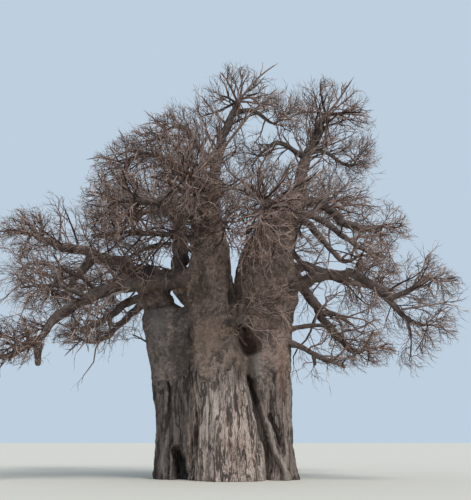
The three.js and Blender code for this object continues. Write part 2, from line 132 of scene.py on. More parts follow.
@dataclass(frozen=True)
class Stem:
    """A stem of the trunk: x, y and radius at the ground, at the waist and at the fork."""

    foot: Triple
    waist: Triple
    fork: Triple
    top: float
    bottom: float = 0.0
    dome_height: float = 0.9
    dome_flat: float = 0.95
    flare: float = 0.11
    flare_height: float = 1.4

    def value(self, index: int, z: Array | float) -> Array | float:
        """Finds one measure on a parabola through the three levels.

        Args:
            index: 0 for x, 1 for y and 2 for the radius.
            z: The height.

        Returns:
            The measure at that height.
        """
        at_ground = self.foot[index] * (z - WAIST) * (z - FORK) / (WAIST * FORK)
        at_waist = self.waist[index] * z * (z - FORK) / (WAIST * (WAIST - FORK))
        at_fork = self.fork[index] * z * (z - WAIST) / (FORK * (FORK - WAIST))
        return at_ground + at_waist + at_fork

    def point_at(self, z: float) -> Array:
        """Returns the middle of the stem at height z."""
        return np.array((self.value(0, z), self.value(1, z), z))

    def radius_at(self, z: float) -> float:
        """Finds the radius, with the root flare and the domed top.

        Args:
            z: The height.

        Returns:
            The radius at that height.
        """
        flare = 1 + self.flare * max(0.0, 1 - z / self.flare_height) ** 2
        domed = 0.0 if self.top == FORK else max(0.0, 1 - (self.top - z) / self.dome_height)
        return self.value(2, z) * flare * math.sqrt(1 - self.dome_flat * domed**2)


@dataclass(frozen=True)
class Leader:
    """A leader that stands on a stem at the fork and leans over as it tapers."""

    stem: Stem
    head: Triple
    radius: float
    bottom: float = FORK
    lean_power: float = 2.4
    taper_power: float = 1.6

    @property
    def top(self) -> float:
        """The height of its top."""
        return self.head[2]

    def share(self, z: float) -> float:
        """Returns how far up the leader height z is."""
        return max(0.0, z - FORK) / (self.top - FORK)

    def point_at(self, z: float) -> Array:
        """Returns the middle of the leader at height z."""
        point = lerp(self.stem.point_at(FORK), np.array(self.head), self.share(z) ** self.lean_power)
        return np.array((point[0], point[1], z))

    def radius_at(self, z: float) -> float:
        """Returns the radius at height z."""
        return lerp(self.stem.radius_at(FORK), self.radius, self.share(z) ** self.taper_power)

    def end(self) -> tuple[Array, Array]:
        """Returns the top and the direction there."""
        return np.array(self.head), UP


class Limb:
    """A bough or the stem of a mass: a line from foot to tip with an arch, a sway and a wave."""

    TABLE = 200
    STEP = 1e-4

    def __init__(self, foot: Array, tip: Array, radius: tuple[float, float], arch: float = 0.0,
                 sway: float = 0.0, wave: float = 0.0, heading: Array | None = None) -> None:
        """Sets the curve and measures it.

        Args:
            foot: Where it starts.
            tip: Where it ends.
            radius: Its radius at foot and tip.
            arch: How far its middle is lifted.
            sway: How far its middle goes to the side.
            wave: How far its first half is lifted and its second lowered.
            heading: The direction in which it leaves its foot, if that is given.
        """
        self.foot, self.tip, self.radius = np.asarray(foot, float), np.asarray(tip, float), radius
        self.arch, self.sway, self.wave = arch, sway, wave
        run = self.tip - self.foot
        self.side = unit(np.array((-run[1], run[0], 0.0)))
        self.turn = np.zeros(3)
        if heading is not None:
            leaving = run + UP * math.pi * (arch + 2 * wave) + self.side * math.pi * sway
            self.turn = np.asarray(heading) * np.linalg.norm(run) - leaving
        self.shares = np.linspace(0.0, 1.0, self.TABLE + 1)
        steps = np.linalg.norm(np.diff(self.path(self.shares), axis=0), axis=1)
        self.lengths = np.concatenate(([0.0], np.cumsum(steps)))
        # The share and the length inside its carrier, and whether it swells where it leaves that
        self.start = 0.0
        self.sunk = 0.0
        self.collared = False

    @property
    def length(self) -> float:
        """The length along the curve."""
        return float(self.lengths[-1])

    def path(self, t: Array) -> Array:
        """Finds places on the curve.

        Args:
            t: Parameters from 0 to 1.

        Returns:
            One place for each.
        """
        t = np.atleast_1d(np.asarray(t, float))[:, None]
        bow = np.sin(math.pi * t)
        place = lerp(self.foot, self.tip, t) + UP * (self.arch * bow + self.wave * np.sin(2 * math.pi * t))
        return place + self.side * self.sway * bow + self.turn * t * (1 - t) ** 2

    def even(self, share: Array | float) -> Array:
        """Returns the parameters at shares of the length."""
        return np.interp(np.atleast_1d(share) * self.length, self.lengths, self.shares)

    def heading(self, t: Array) -> Array:
        """Returns the directions of the curve at the parameters t."""
        t = np.atleast_1d(t)
        return unit(self.path(np.minimum(t + self.STEP, 1)) - self.path(np.maximum(t - self.STEP, 0)))

    def point_at(self, share: float) -> Array:
        """Returns the place at a share of the length."""
        return self.path(self.even(share))[0]

    def radius_at(self, share: Array | float) -> Array | float:
        """Returns the radius at a share of the length."""
        return lerp(self.radius[0], self.radius[1], share)

    def end(self) -> tuple[Array, Array]:
        """Returns the tip and the direction there."""
        return self.tip.copy(), self.heading(np.array((1.0,)))[0]


@dataclass(frozen=True)
class Reach:
    """The rounded space that a mass of twigs fills, past its bough's tip, and how full it is."""

    ahead: float
    lift: float
    spread: float
    height: float
    fullness: float = 1.0


# Where along a leader or bough another one carries it on
TIP = 1.0


@dataclass(frozen=True)
class Bough:
    """Where a bough springs from and how it runs; bearings are degrees round +Z from +X.

    It springs from a height on a stem or leader, or from a share of another bough. The last three
    fields are the mass at its tip, the room between its side twigs, and their least and most length.
    """

    carrier: str
    at: float
    bearing: float
    reach: float
    rise: float
    bend: Triple
    radius: tuple[float, float]
    twigs: Reach | None = None
    spacing: float = 0.26
    strands: tuple[float, float] = (0.6, 3.0)

    SUNK_RADII = 1.5
    GAP = 0.00035

    def limb(self, carriers: dict[str, Stem | Leader | Limb]) -> Limb:
        """Finds the limb from what carries it.

        Args:
            carriers: Every stem, leader and bough made so far, by name.

        Returns:
            The limb, with the share of its length that is sunk in its carrier.
        """
        carrier = carriers[self.carrier]
        continues = self.at == TIP
        point, heading = carrier.end() if continues else (carrier.point_at(self.at), None)
        foot = point + heading * self.GAP if continues else point
        angle = math.radians(self.bearing)
        tip = foot + np.array((self.reach * math.cos(angle), self.reach * math.sin(angle), self.rise))
        arch, sway, wave = self.bend
        limb = Limb(foot, tip, self.radius, arch, sway, wave, heading)
        limb.sunk = 0.0 if continues else carrier.radius_at(self.at)
        limb.start = max(0.0, limb.sunk - self.SUNK_RADII * self.radius[0]) / limb.length
        limb.collared = not continues
        return limb


STEMS = {
    "left": Stem((-2.0, -0.2, 0.83), (-2.08, -0.2, 0.9), (-2.7, 0.0, 1.15), SHOULDER),
    "centre": Stem((0.17, -1.45, 1.29), (-0.12, -1.3, 1.06), (-0.72, -0.95, 0.98), FORK),
    "right": Stem((2.0, -0.8, 0.83), (1.75, -0.6, 0.89), (1.65, -0.35, 1.33), FORK),
    "back_left": Stem((-1.15, 1.35, 1.35), (-1.15, 1.4, 1.2), (-0.95, 1.65, 0.8), FORK),
    "back_right": Stem((1.35, 1.3, 1.35), (1.3, 1.3, 1.2), (1.95, 1.45, 0.9), FORK),
    "heart": Stem((0.0, 0.2, 1.4), (0.0, 0.2, 1.25), (0.1, 0.25, 0.9), HEART_TOP),
}
LEADERS = {
    "centre": ((-0.6, -0.45, 11.2), 0.37),
    "right": ((3.25, 0.0, 12.4), 0.3),
    "back_left": ((-1.35, 2.3, 11.4), 0.35),
    "back_right": ((2.9, 2.4, 11.6), 0.35),
}
BOUGHS = {
    "left_arch": Bough("centre_leader", 8.15, 167, 7.05, 1.85, (-0.3, -0.2, -0.15), (0.42, 0.21),
                       Reach(1.25, 0.6, 1.7, 1.35), 0.2),
    "left_fork": Bough("left_arch", 0.74, -154, 1.25, -1.75, (0, 0.1, 0), (0.22, 0.12),
                       Reach(0.9, 0.1, 1.75, 1.35)),
    "left_long": Bough("centre_leader", 8.3, -164, 6.1, -1.9, (0.45, 0, -0.15), (0.33, 0.22), None, 0.2),
    "left_long_tip": Bough("left_long", TIP, -146, 1, -1.25, (-0.05, 0, 0), (0.215, 0.13),
                           Reach(0.8, 0.1, 1.35, 1.2)),
    "left_low": Bough("left_stem", 6.95, -144, 4.4, -1.15, (0.5, 0, 0.35), (0.24, 0.09)),
    "left_hook": Bough("left_stem", 6.8, 157, 3.5, -1.05, (0.7, -0.1, 0.3), (0.24, 0.1),
                       Reach(0.8, 0.15, 1.4, 1.0)),
    "left_riser": Bough("centre_leader", 7.95, 128, 2.2, 2.55, (-1.4, 0.5, -0.2), (0.42, 0.34)),
    "back_left": Bough("left_riser", TIP, 123, 4.9, 1.9, (0.5, 0, 0), (0.3, 0.13),
                       Reach(1.0, 0.3, 2.4, 2.0)),
    "crown_left": Bough("centre_leader", TIP, -35, 1.1, 4.4, (0, -0.4, 0), (0.31, 0.15),
                        Reach(0.35, 0.5, 2.5, 2.15, 0.75)),
    "crown_left_arch": Bough("crown_left", 0.95, 0, 1.75, -0.4, (0.42, 0, 0), (0.12, 0.075),
                             Reach(0.55, 0.45, 1.2, 1.15)),
    "crown_right": Bough("right_leader", TIP, 12, 1, 3.1, (0, 0, 0), (0.27, 0.17),
                         Reach(0.55, 0.55, 2.35, 1.9)),
    "crown_right_arch": Bough("crown_right", 0.46, -170, 1.95, 0.2, (0.4, 0, -0.15), (0.14, 0.08),
                              Reach(0.35, -0.45, 1.3, 1.1)),
    "crown_right_droop": Bough("crown_right", 0.52, 0, 1.85, -0.6, (0.25, 0, 0.1), (0.12, 0.08),
                               Reach(0.4, 0.45, 1.15, 1.25)),
    "dome_left": Bough("centre_leader", 10.4, -150, 4.0, 0.65, (0.35, 0.3, 0), (0.29, 0.13),
                       Reach(0.35, -0.05, 1.8, 2.2, 1.15), 0.22),
    "dome_mid": Bough("crown_left", 0.19, 157, 4.2, 2.1, (0.5, -0.4, -0.3), (0.22, 0.11),
                      Reach(0.3, -0.5, 2, 1.9, 1.2), 0.24),
    "dome_top": Bough("crown_left", 0.44, 154, 2.2, 2.15, (0.3, 0, -0.2), (0.17, 0.1),
                      Reach(0.4, -0.55, 2.05, 1.7)),
    "right_upper": Bough("right_leader", 11.3, 15, 4.3, -0.5, (0.4, 0, 0.4), (0.29, 0.15),
                         Reach(0.4, 0.2, 1.5, 1.4, 0.8), 0.36),
    "right_mid": Bough("right_leader", 10.5, -35, 3.2, -1.8, (0.85, 0.2, 0.25), (0.22, 0.11),
                       Reach(1, 0.2, 1.4, 1.25, 0.5), 0.5),
    "right_long": Bough("right_leader", 7.95, -28, 5.4, -0.8, (0.6, 0, -0.27), (0.29, 0.175), None, 0.34),
    "right_long_up": Bough("right_long", TIP, -18, 1.6, 0.65, (0, 0, 0), (0.14, 0.08),
                           Reach(0.2, -0.1, 1.35, 1.15, 0.7)),
    "right_long_down": Bough("right_long", 0.92, -10, 1.5, -1.5, (-0.2, -0.1, 0), (0.16, 0.085),
                             Reach(0.35, 0, 1.4, 1.35, 0.6), 0.34),
    "right_low": Bough("right_leader", 8.3, 18, 4.1, -3.0, (0.75, 0, 0.45), (0.32, 0.14),
                       Reach(0.6, 0.15, 1.4, 1.05)),
    "right_foot": Bough("right_stem", 5.5, -23, 3.4, -1.1, (0.25, 0, 0.1), (0.17, 0.075)),
    "front_left": Bough("centre_leader", 9.9, -100, 3.7, 1.6, (0.3, 0, 0), (0.24, 0.12),
                        Reach(0.5, 0, 2.2, 2.2, 1.2), 0.1),
    "front_right": Bough("right_leader", 10.0, -97, 3.9, 0.7, (0.45, 0, 0), (0.24, 0.12),
                         Reach(0.9, -1.0, 1.8, 2.6, 1.2), 0.1),
    "front_stub": Bough("centre_stem", 6.0, -59, 2.45, 0.15, (0, -0.2, 0), (0.21, 0.15), None, 0.17,
                        (0.4, 1.3)),
    "back_left_low": Bough("back_left_leader", 8.7, 145, 6.0, 0.1, (0.5, 0, -0.2), (0.31, 0.13),
                           Reach(1.1, 0.1, 2.2, 1.7)),
    "back_mid": Bough("back_left_leader", TIP, 100, 3.7, 2.5, (0, 0, 0), (0.32, 0.13),
                      Reach(0.9, 0.6, 2.3, 2.0)),
    "back_right": Bough("back_right_leader", TIP, 55, 3.5, 1.7, (0, 0, 0), (0.32, 0.13),
                        Reach(0.9, 0.2, 2.3, 1.8)),
    "back_right_low": Bough("back_right_leader", 8.7, 35, 5.8, 0.2, (0.5, 0, 0.2), (0.31, 0.13),
                            Reach(0.8, 0.1, 1.8, 1.5)),
}

# Dead stubs and boughs too slender for solids of their own
SLENDER = {
    "left_dead": Bough("left_stem", 4.75, 170, 1.8, 1.2, (0.1, 0, 0), (0.075, 0.03), strands=(0.3, 1.0)),
    "left_stump": Bough("left_long_tip", 0.85, -60, 0.15, -1.0, (0, 0, 0), (0.17, 0.12),
                        strands=(0.3, 0.8)),
    "left_end": Bough("left_long_tip", 0.8, -150, 1.6, -0.8, (-0.1, 0, 0.05), (0.16, 0.11)),
    "left_stub": Bough("left_low", 0.62, 0, 0.05, -0.6, (0, 0, 0), (0.09, 0.07), strands=(0.3, 0.8)),
    "right_stub": Bough("right_foot", 0.6, 0, 0.05, -0.5, (0, 0, 0), (0.085, 0.07), strands=(0.3, 0.8)),
    "right_prop": Bough("right_stem", 5.6, -15, 3.0, 0.5, (0.3, 0, 0), (0.14, 0.07)),
    "right_low_fork": Bough("right_low", 0.6, 5, 1.4, -0.5, (0.25, 0, 0), (0.14, 0.07)),
    "right_inner": Bough("right_leader", 9.4, -20, 2.1, -1.3, (0.6, 0, 0.1), (0.18, 0.09)),
    "right_second": Bough("right_leader", 10.9, 0, 4.6, -1.7, (0.5, 0, 0.3), (0.2, 0.08), None, 0.34),
    "right_hanging": Bough("right_long_down", 0.75, -90, 0.1, -1.7, (0, 0.1, 0), (0.05, 0.025),
                           strands=(0.3, 0.9)),
    "left_reach": Bough("left_long", 0.8, -165, 2.6, 0.3, (0.3, 0, 0), (0.1, 0.05), None, 0.14),
    "left_reach_up": Bough("left_fork", 0.6, 178, 2.3, 0.6, (0.2, 0, 0), (0.09, 0.045), None, 0.14),
    "dome_low": Bough("centre_leader", 9.7, -168, 5.0, 0.1, (0.35, -0.3, 0), (0.17, 0.07), None, 0.17),
    "dome_lower": Bough("centre_leader", 9.0, 170, 3.6, 0.2, (0.6, 0.2, 0), (0.13, 0.06), None, 0.2),
    "front_low": Bough("centre_leader", 10.3, -70, 2.3, -0.5, (0.4, 0, 0), (0.12, 0.06), None, 0.09),
    "front_lower": Bough("centre_leader", 10.2, -128, 2.6, -0.6, (0.5, 0, 0), (0.12, 0.06), None, 0.09),
    "right_front": Bough("right_leader", 10.2, -128, 2.3, -0.5, (0.4, 0, 0), (0.12, 0.06), None, 0.09),
    "right_veil": Bough("right_leader", 10.7, -70, 2.6, -1.2, (0.5, 0, 0), (0.12, 0.06), None, 0.09),
    "front_prong": Bough("front_stub", 0.7, 8, 1.9, 1.0, (0.1, 0, 0), (0.07, 0.03), None, 0.15, (0.4, 1.2)),
}

# The middle of the crown, which twigs grow away from, and where the tree is seen from
CROWN_HEART = np.array((0.2, 0.3, 8.5))
EYE = (0.39, -36.467, 1.55)

# Seen from there, as x and z over the middle of the trunk: the low left and high right corners of
# the largest gaps, the lower edge of the crown, and the upper one
OPENINGS = (
    ((-0.1, 7.2), (0.45, 9.8)),
    ((-3.8, 10.7), (-3.35, 11.3)),
    ((3.2, 10.3), (3.9, 11.05)),
    ((4.3, 8.75), (5.15, 10.0)),
    ((2.05, 13.65), (3.25, 14.3)),
    ((0.85, 14.45), (2.15, 15.8)),
)
HEMLINE = (
    (-10.5, 4.6), (-8.0, 4.6), (-7.6, 5.5), (-2.9, 5.6), (-2.8, 0.0), (3.0, 0.0), (3.1, 4.5), (10.2, 4.5),
)
SKYLINE = (
    (-10.5, 11.3), (-9.3, 11.7), (-8.6, 12.1), (-6.7, 12.1), (-6.4, 12.9), (-5.9, 13.9), (-5.0, 14.8),
    (-3.1, 15.8), (-1.9, 16.8), (-1.0, 17.7), (0.0, 18.2), (0.8, 18.2), (1.6, 17.6), (2.2, 17.1),
    (2.9, 17.6), (4.1, 18.0), (5.4, 17.4), (6.5, 16.8), (7.0, 14.8), (7.3, 12.1), (8.1, 11.1), (8.4, 9.9),
    (9.3, 9.2), (10.2, 8.3),
)


class Space:
    """The ellipsoid that a mass of twigs keeps to."""

    def __init__(self, limb: Limb, reach: Reach) -> None:
        """Places the ellipsoid past the tip of its bough.

        Args:
            limb: The bough.
            reach: How far past it the middle is, and the size.
        """
        heading = unit((limb.tip - limb.foot) * (1, 1, 0))
        self.centre = limb.tip + heading * reach.ahead + UP * reach.lift
        self.half = np.array((reach.spread, reach.spread, reach.height))

    def depth(self, points: Array) -> Array:
        """Returns 0 at the middle and 1 on the skin, for each point."""
        return np.linalg.norm((points - self.centre) / self.half, axis=-1)


class Skeleton:
    """Every stem, leader, bough and mass of the tree, found from the tables."""

    # Links in each limb, room round it, what flutes add, and the share of twigs left before the sky
    LINKS = 12
    CLEARANCE = 0.04
    FLUTE = 0.05
    SEEN_SHARE = 0.2

    def __init__(self) -> None:
        """Finds each limb from its carrier, and each mass from its bough."""
        self.columns: dict[str, Stem | Leader] = {f"{name}_stem": stem for name, stem in STEMS.items()}
        for name, (head, radius) in LEADERS.items():
            self.columns[f"{name}_leader"] = Leader(STEMS[name], head, radius)
        self.carriers: dict[str, Stem | Leader | Limb] = dict(self.columns)
        self.boughs: dict[str, Limb] = {}
        for name, row in BOUGHS.items():
            self.boughs[name] = self.carriers[name] = row.limb(self.carriers)
        self.slender = {name: row.limb(self.carriers) for name, row in SLENDER.items()}
        named = [(name, row.twigs) for name, row in BOUGHS.items() if row.twigs]
        self.masses = [Mass(name, index + 1, reach, self) for index, (name, reach) in enumerate(named)]
        self.starts, self.ends, self.radii, self.owners = self.links()

    def links(self) -> tuple[Array, Array, Array, Array]:
        """Cuts every limb into short straight links.

        Returns:
            The starts, the ends, the end radii and the owner of each link.
        """
        chains = [(column, column.bottom, column.top, "") for column in self.columns.values()]
        chains += [(limb, 0.0, 1.0, "") for limb in self.boughs.values()]
        chains += [(mass.stem, 0.0, 1.0, mass.name) for mass in self.masses]
        starts, ends, radii, owners = [], [], [], []
        for curve, low, high, owner in chains:
            places = np.linspace(low, high, self.LINKS + 1)
            points = [curve.point_at(place) for place in places]
            sizes = [curve.radius_at(place) for place in places]
            starts += points[:-1]
            ends += points[1:]
            radii += list(zip(sizes, sizes[1:]))
            owners += [owner] * self.LINKS
        return np.array(starts), np.array(ends), np.array(radii), np.array(owners)

    def touched(self, points: Array, radius: Array, owner: str) -> Array:
        """Tells which points are too near a limb.

        Args:
            points: Places along some twigs.
            radius: The radius of the twig at each place.
            owner: The mass whose own stem doesn't count.

        Returns:
            True for each place that touches a limb.
        """
        kept = self.owners != owner
        starts, runs, radii = self.starts[kept], (self.ends - self.starts)[kept], self.radii[kept]
        away = points[:, None, :] - starts
        share = np.clip((away * runs).sum(-1) / np.maximum((runs * runs).sum(-1), TINY), 0, 1)
        near = np.linalg.norm(away - runs * share[..., None], axis=-1)
        limit = lerp(radii[:, 0], radii[:, 1], share) * (1 + self.FLUTE) + radius[:, None] + self.CLEARANCE
        return (near < limit).any(axis=1)

    def in_sky(self, points: Array) -> Array:
        """Tells which points are seen, from the front, where only sky shows.

        Args:
            points: Places along some twigs.

        Returns:
            True for each place in a gap, over the crown or under it.
        """
        ahead = -EYE[1] / (points[..., 1] - EYE[1])
        across = EYE[0] + (points[..., 0] - EYE[0]) * ahead
        up = EYE[2] + (points[..., 2] - EYE[2]) * ahead
        shown = (up > np.interp(across, *zip(*SKYLINE))) | (up < np.interp(across, *zip(*HEMLINE)))
        for (left, low), (right, high) in OPENINGS:
            shown |= (across > left) & (across < right) & (up > low) & (up < high)
        return shown

    def in_column(self, points: Array) -> Array:
        """Tells which points are inside a stem or leader.

        Args:
            points: Places along some twigs.

        Returns:
            True for each place inside one.
        """
        inside = np.zeros(points.shape[:-1], bool)
        for column in self.columns.values():
            levels = np.linspace(column.bottom, column.top, self.LINKS + 1)
            middles = np.array([column.point_at(z) for z in levels])
            sizes = np.array([column.radius_at(z) for z in levels])
            z = points[..., 2]
            away = np.hypot(points[..., 0] - np.interp(z, levels, middles[:, 0]),
                            points[..., 1] - np.interp(z, levels, middles[:, 1]))
            inside |= (away < np.interp(z, levels, sizes)) & (z < column.top)
        return inside

    def clear(self, twigs: Twigs, odds: Array) -> Array:
        """Tells which twigs are off the trunk and, all but a few, out of the sky.

        Args:
            twigs: The twigs.
            odds: The chance of each.

        Returns:
            True for each twig that may stay.
        """
        points = twigs.at(*Twigs.TRIED_AT)
        kept = ~self.in_column(points).any(axis=1)
        return kept & (~self.in_sky(points).any(axis=1) | (odds < self.SEEN_SHARE))


# Twigs, held as arrays with one row for each


@dataclass
class Twigs:
    """Many twigs, each a straight way from foot to tip that four bends move aside.

    The bends are vectors: a bow over the whole way, a wave of two halves, a wave of three parts and a
    turn near the foot.
    """

    foot: Array
    tip: Array
    radius: Array
    bends: Array
    tint: Array

    TRIED_AT = (0.35, 0.7, 1.0)
    STEP = 0.01

    def __len__(self) -> int:
        """Returns how many twigs there are."""
        return len(self.foot)

    @property
    def run(self) -> Array:
        """The straight way from foot to tip."""
        return self.tip - self.foot

    def path(self, t: Array) -> Array:
        """Returns the places at the parameters t, one row of them for each twig."""
        waves = (np.sin(math.pi * t), np.sin(2 * math.pi * t), np.sin(3 * math.pi * t), t * (1 - t) ** 2)
        return self.foot[:, None] + self.run[:, None] * t[..., None] + np.stack(waves, axis=-1) @ self.bends

    def heading(self, t: Array) -> Array:
        """Returns the directions at the parameters t."""
        return unit(self.path(np.minimum(t + self.STEP, 1)) - self.path(np.maximum(t - self.STEP, 0)))

    def at(self, *stations: float) -> Array:
        """Returns the places at the same few parameters of every twig."""
        return self.path(np.broadcast_to(np.array(stations), (len(self), len(stations))))

    def odds(self, seed: int) -> Array:
        """Returns a chance for each twig, drawn from where its tip is."""
        return chance(seed, np.round(self.tip[:, 0] * 100), 21)

    def only(self, kept: Array) -> Twigs:
        """Returns the twigs that a mask or a list of rows keeps."""
        return Twigs(self.foot[kept], self.tip[kept], self.radius[kept], self.bends[kept], self.tint[kept])

    @staticmethod
    def joined(groups: Sequence[Twigs]) -> Twigs:
        """Returns several groups as one."""
        names = ("foot", "tip", "radius", "bends", "tint")
        return Twigs(*(np.concatenate([getattr(group, name) for group in groups]) for name in names))


def fitted(make: Callable[[float], Twigs], tries: Sequence[float], free: Callable[[Twigs], Array]) -> Twigs:
    """Finds the longest of a few lengths that keeps each twig free.

    Args:
        make: Makes all the twigs at a share of their length.
        tries: The shares, from the longest.
        free: Tells which twigs are free.

    Returns:
        The twigs that are free at some share.
    """
    made = [make(share) for share in tries]
    chosen = np.full(len(made[0]), -1)
    for step, twigs in enumerate(made):
        open_rows = np.flatnonzero(chosen < 0)
        if len(open_rows):
            chosen[open_rows[free(twigs.only(open_rows))]] = step
    return Twigs.joined([twigs.only(chosen == step) for step, twigs in enumerate(made)])


@dataclass(frozen=True)
class Habit:
    """How twigs bend: every value is a share of their length, but for the droop."""

    arch: tuple[float, float] = (-0.03, 0.1)
    sway: float = 0.08
    kink: float = 0.045
    droop: float = 0.0

    RIPPLE = 0.6

    def grown(self, foot: Array, leaving: Array, toward: Array, length: Array, radius: Array, tint: Array,
              seed: int, number: Array) -> Twigs:
        """Makes twigs.

        Args:
            foot: Where they start.
            leaving: The directions in which they leave their parents.
            toward: The directions in which their tips lie.
            length: How long they are.
            radius: Their radius at the foot.
            tint: The number of their plain finish.
            seed: The number of the mass or bough.
            number: Their own numbers, which their chances come from.

        Returns:
            The twigs.
        """
        long = length[:, None]
        run = toward * long - UP * self.droop * long * long
        side = unit(np.cross(toward, LEANING_UP))
        over = np.cross(side, toward)
        swing = np.stack([lerp(-1, 1, chance(seed, number, choice)) for choice in range(8, 12)], axis=1)
        wave = (side * swing[:, :1] + over * swing[:, 1:2]) * self.kink * long
        ripple = (side * swing[:, 2:3] + over * swing[:, 3:]) * self.kink * self.RIPPLE * long
        lift = lerp(*self.arch, chance(seed, number, 12))[:, None]
        bow = (UP * lift + side * self.sway * lerp(-1, 1, chance(seed, number, 13))[:, None]) * long
        turn = leaving * long - run - math.pi * (bow + 2 * wave + 3 * ripple)
        return Twigs(foot, foot + run, radius, np.stack((bow, wave, ripple, turn), axis=1), tint)


@dataclass(frozen=True)
class Order:
    """How one order of twigs branches from the order before it.

    It holds how many there are on each parent, where their feet are, their length as a share of what
    is ahead, their least length, their least and most radius, how far they turn aside, the number of
    the first, how they bend, how far they turn out of the crown, and whether tints are dealt anew.
    """

    each: int
    feet: tuple[float, float]
    length: tuple[float, float]
    least: float
    radius: tuple[float, float]
    splay: float
    first_number: int
    habit: Habit = Habit()
    outward: float = 0.3
    deals: bool = False

    LIFT_ASIDE = 0.5
    SPLAYED = (0.55, 1.3)
    LEAVING = (0.3, 1.6)
    TRIES = (1.0, 0.8, 0.6, 0.45)
    THINNER = 0.78

    def branch(self, parents: Twigs, seed: int, free: Callable[[Twigs], Array]) -> Twigs:
        """Grows the twigs of this order.

        Args:
            parents: The twigs that they branch from.
            seed: The number of the mass or bough.
            free: Tells which twigs keep to their space.

        Returns:
            The twigs, each at the longest of a few lengths that keeps to its space.
        """
        count = len(parents) * self.each
        index = np.arange(count)
        number, order = index + self.first_number, index % self.each
        parent = parents.only(index // self.each)
        t = lerp(*self.feet, (order + chance(seed, number, 5)) / self.each)[:, None]
        foot, heading = parent.path(t)[:, 0], parent.heading(t)[:, 0]
        roll = math.pi * (order + chance(seed, number, 6)) + GOLDEN_ANGLE * (order // 2)
        bearing = np.stack((np.cos(roll), np.sin(roll), np.full(count, self.LIFT_ASIDE)), axis=1)
        splayed = lerp(*self.SPLAYED, chance(seed, number, 14))[:, None]
        aside = unit(np.cross(bearing, heading)) * self.splay * splayed
        toward = unit(heading + aside + unit(foot - CROWN_HEART) * self.outward)
        leaving = unit(heading + aside * lerp(*self.LEAVING, chance(seed, number, 15))[:, None])
        ahead = np.linalg.norm(foot - parent.tip, axis=1)
        length = np.maximum(ahead * lerp(*self.length, chance(seed, number, 7)), self.least)
        radius = np.clip(parent.radius * (1 - t[:, 0] * TwigMesh.TAPER) * self.THINNER, *self.radius)
        tint = number % Mass.TINTS if self.deals else parent.tint
        return fitted(lambda share: self.habit.grown(foot, leaving, toward, length * share, radius, tint,
                                                     seed, number), self.TRIES, free)


class TwigMesh:
    """One mesh of many closed, pointed, tapering twigs, gathered from arrays."""

    TAPER = 0.65
    UPRIGHT = 0.8
    SIDEWAYS = np.array((1.0, 0, 0))

    def __init__(self, name: str) -> None:
        """Starts an empty mesh.

        Args:
            name: The name of the piece.
        """
        self.name = name
        self.points: list[Array] = []
        self.corners: list[Array] = []
        self.sizes: list[Array] = []
        self.tints: list[Array] = []
        self.count = 0

    def add(self, twigs: Twigs, rings: int, sides: int) -> None:
        """Adds a group of twigs.

        Args:
            twigs: The twigs.
            rings: How many rings each has before its point.
            sides: How many sides each has.
        """
        if not len(twigs):
            return
        t = np.linspace(0, 1, rings + 1)
        centre = twigs.at(*t)
        axis = unit(np.gradient(centre, axis=1))
        main = unit(twigs.run)
        helper = np.where(np.abs(main[:, 2:]) > self.UPRIGHT, self.SIDEWAYS, UP)[:, None]
        across = unit(np.cross(helper, axis))
        over = np.cross(axis, across)
        angle = np.arange(sides) * 2 * math.pi / sides
        radius = twigs.radius[:, None] * (1 - self.TAPER * t[None, :])
        spoke = across[:, :, None] * np.cos(angle)[:, None] + over[:, :, None] * np.sin(angle)[:, None]
        skin = centre[:, :, None] + spoke * radius[:, :, None, None]
        skin = skin[:, :-1].reshape(len(twigs), rings * sides, 3)
        vertices = np.concatenate((skin, centre[:, -1:]), axis=1)
        per_twig = rings * sides + 1
        base = self.count + np.arange(len(twigs)) * per_twig
        for shape in self.pattern(rings, sides):
            self.corners.append((base[:, None, None] + shape).ravel())
            self.sizes.append(np.full(len(twigs) * len(shape), shape.shape[1]))
            self.tints.append(np.repeat(twigs.tint, len(shape)))
        self.points.append(vertices.reshape(-1, 3))
        self.count += len(twigs) * per_twig

    @staticmethod
    def pattern(rings: int, sides: int) -> tuple[Array, Array, Array]:
        """Finds the corner numbers of one twig's faces.

        Args:
            rings: How many rings it has before its point.
            sides: How many sides it has.

        Returns:
            The corners of its side faces, of its point's faces and of its foot.
        """
        ring, side = np.divmod(np.arange((rings - 1) * sides), sides)
        after = (side + 1) % sides
        low, high = ring * sides, (ring + 1) * sides
        quads = np.stack((low + side, low + after, high + after, high + side), axis=1)
        last, side = (rings - 1) * sides, np.arange(sides)
        points = np.stack((last + side, last + (side + 1) % sides, np.full(sides, rings * sides)), axis=1)
        return quads, points, np.arange(sides)[None, ::-1]

    def build(self, materials: Sequence[Material]) -> Piece:
        """Makes the object.

        Args:
            materials: The finishes that the tints number.

        Returns:
            The object, at the origin.
        """
        points, corners = np.concatenate(self.points), np.concatenate(self.corners)
        sizes, tints = np.concatenate(self.sizes), np.concatenate(self.tints)
        mesh = bpy.data.meshes.new(self.name)
        mesh.vertices.add(len(points))
        mesh.vertices.foreach_set("co", points.astype(np.float32).ravel())
        mesh.loops.add(len(corners))
        mesh.loops.foreach_set("vertex_index", corners.astype(np.int32))
        mesh.polygons.add(len(sizes))
        starts = np.concatenate(([0], np.cumsum(sizes)[:-1])).astype(np.int32)
        mesh.polygons.foreach_set("loop_start", starts)
        for material in materials:
            mesh.materials.append(material)
        mesh.polygons.foreach_set("material_index", (tints % len(materials)).astype(np.int32))
        mesh.polygons.foreach_set("use_smooth", np.ones(len(sizes), bool))
        mesh.update(calc_edges=True)
        piece = bpy.data.objects.new(self.name, mesh)
        bpy.context.scene.collection.objects.link(piece)
        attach(piece, BODY)
        return piece


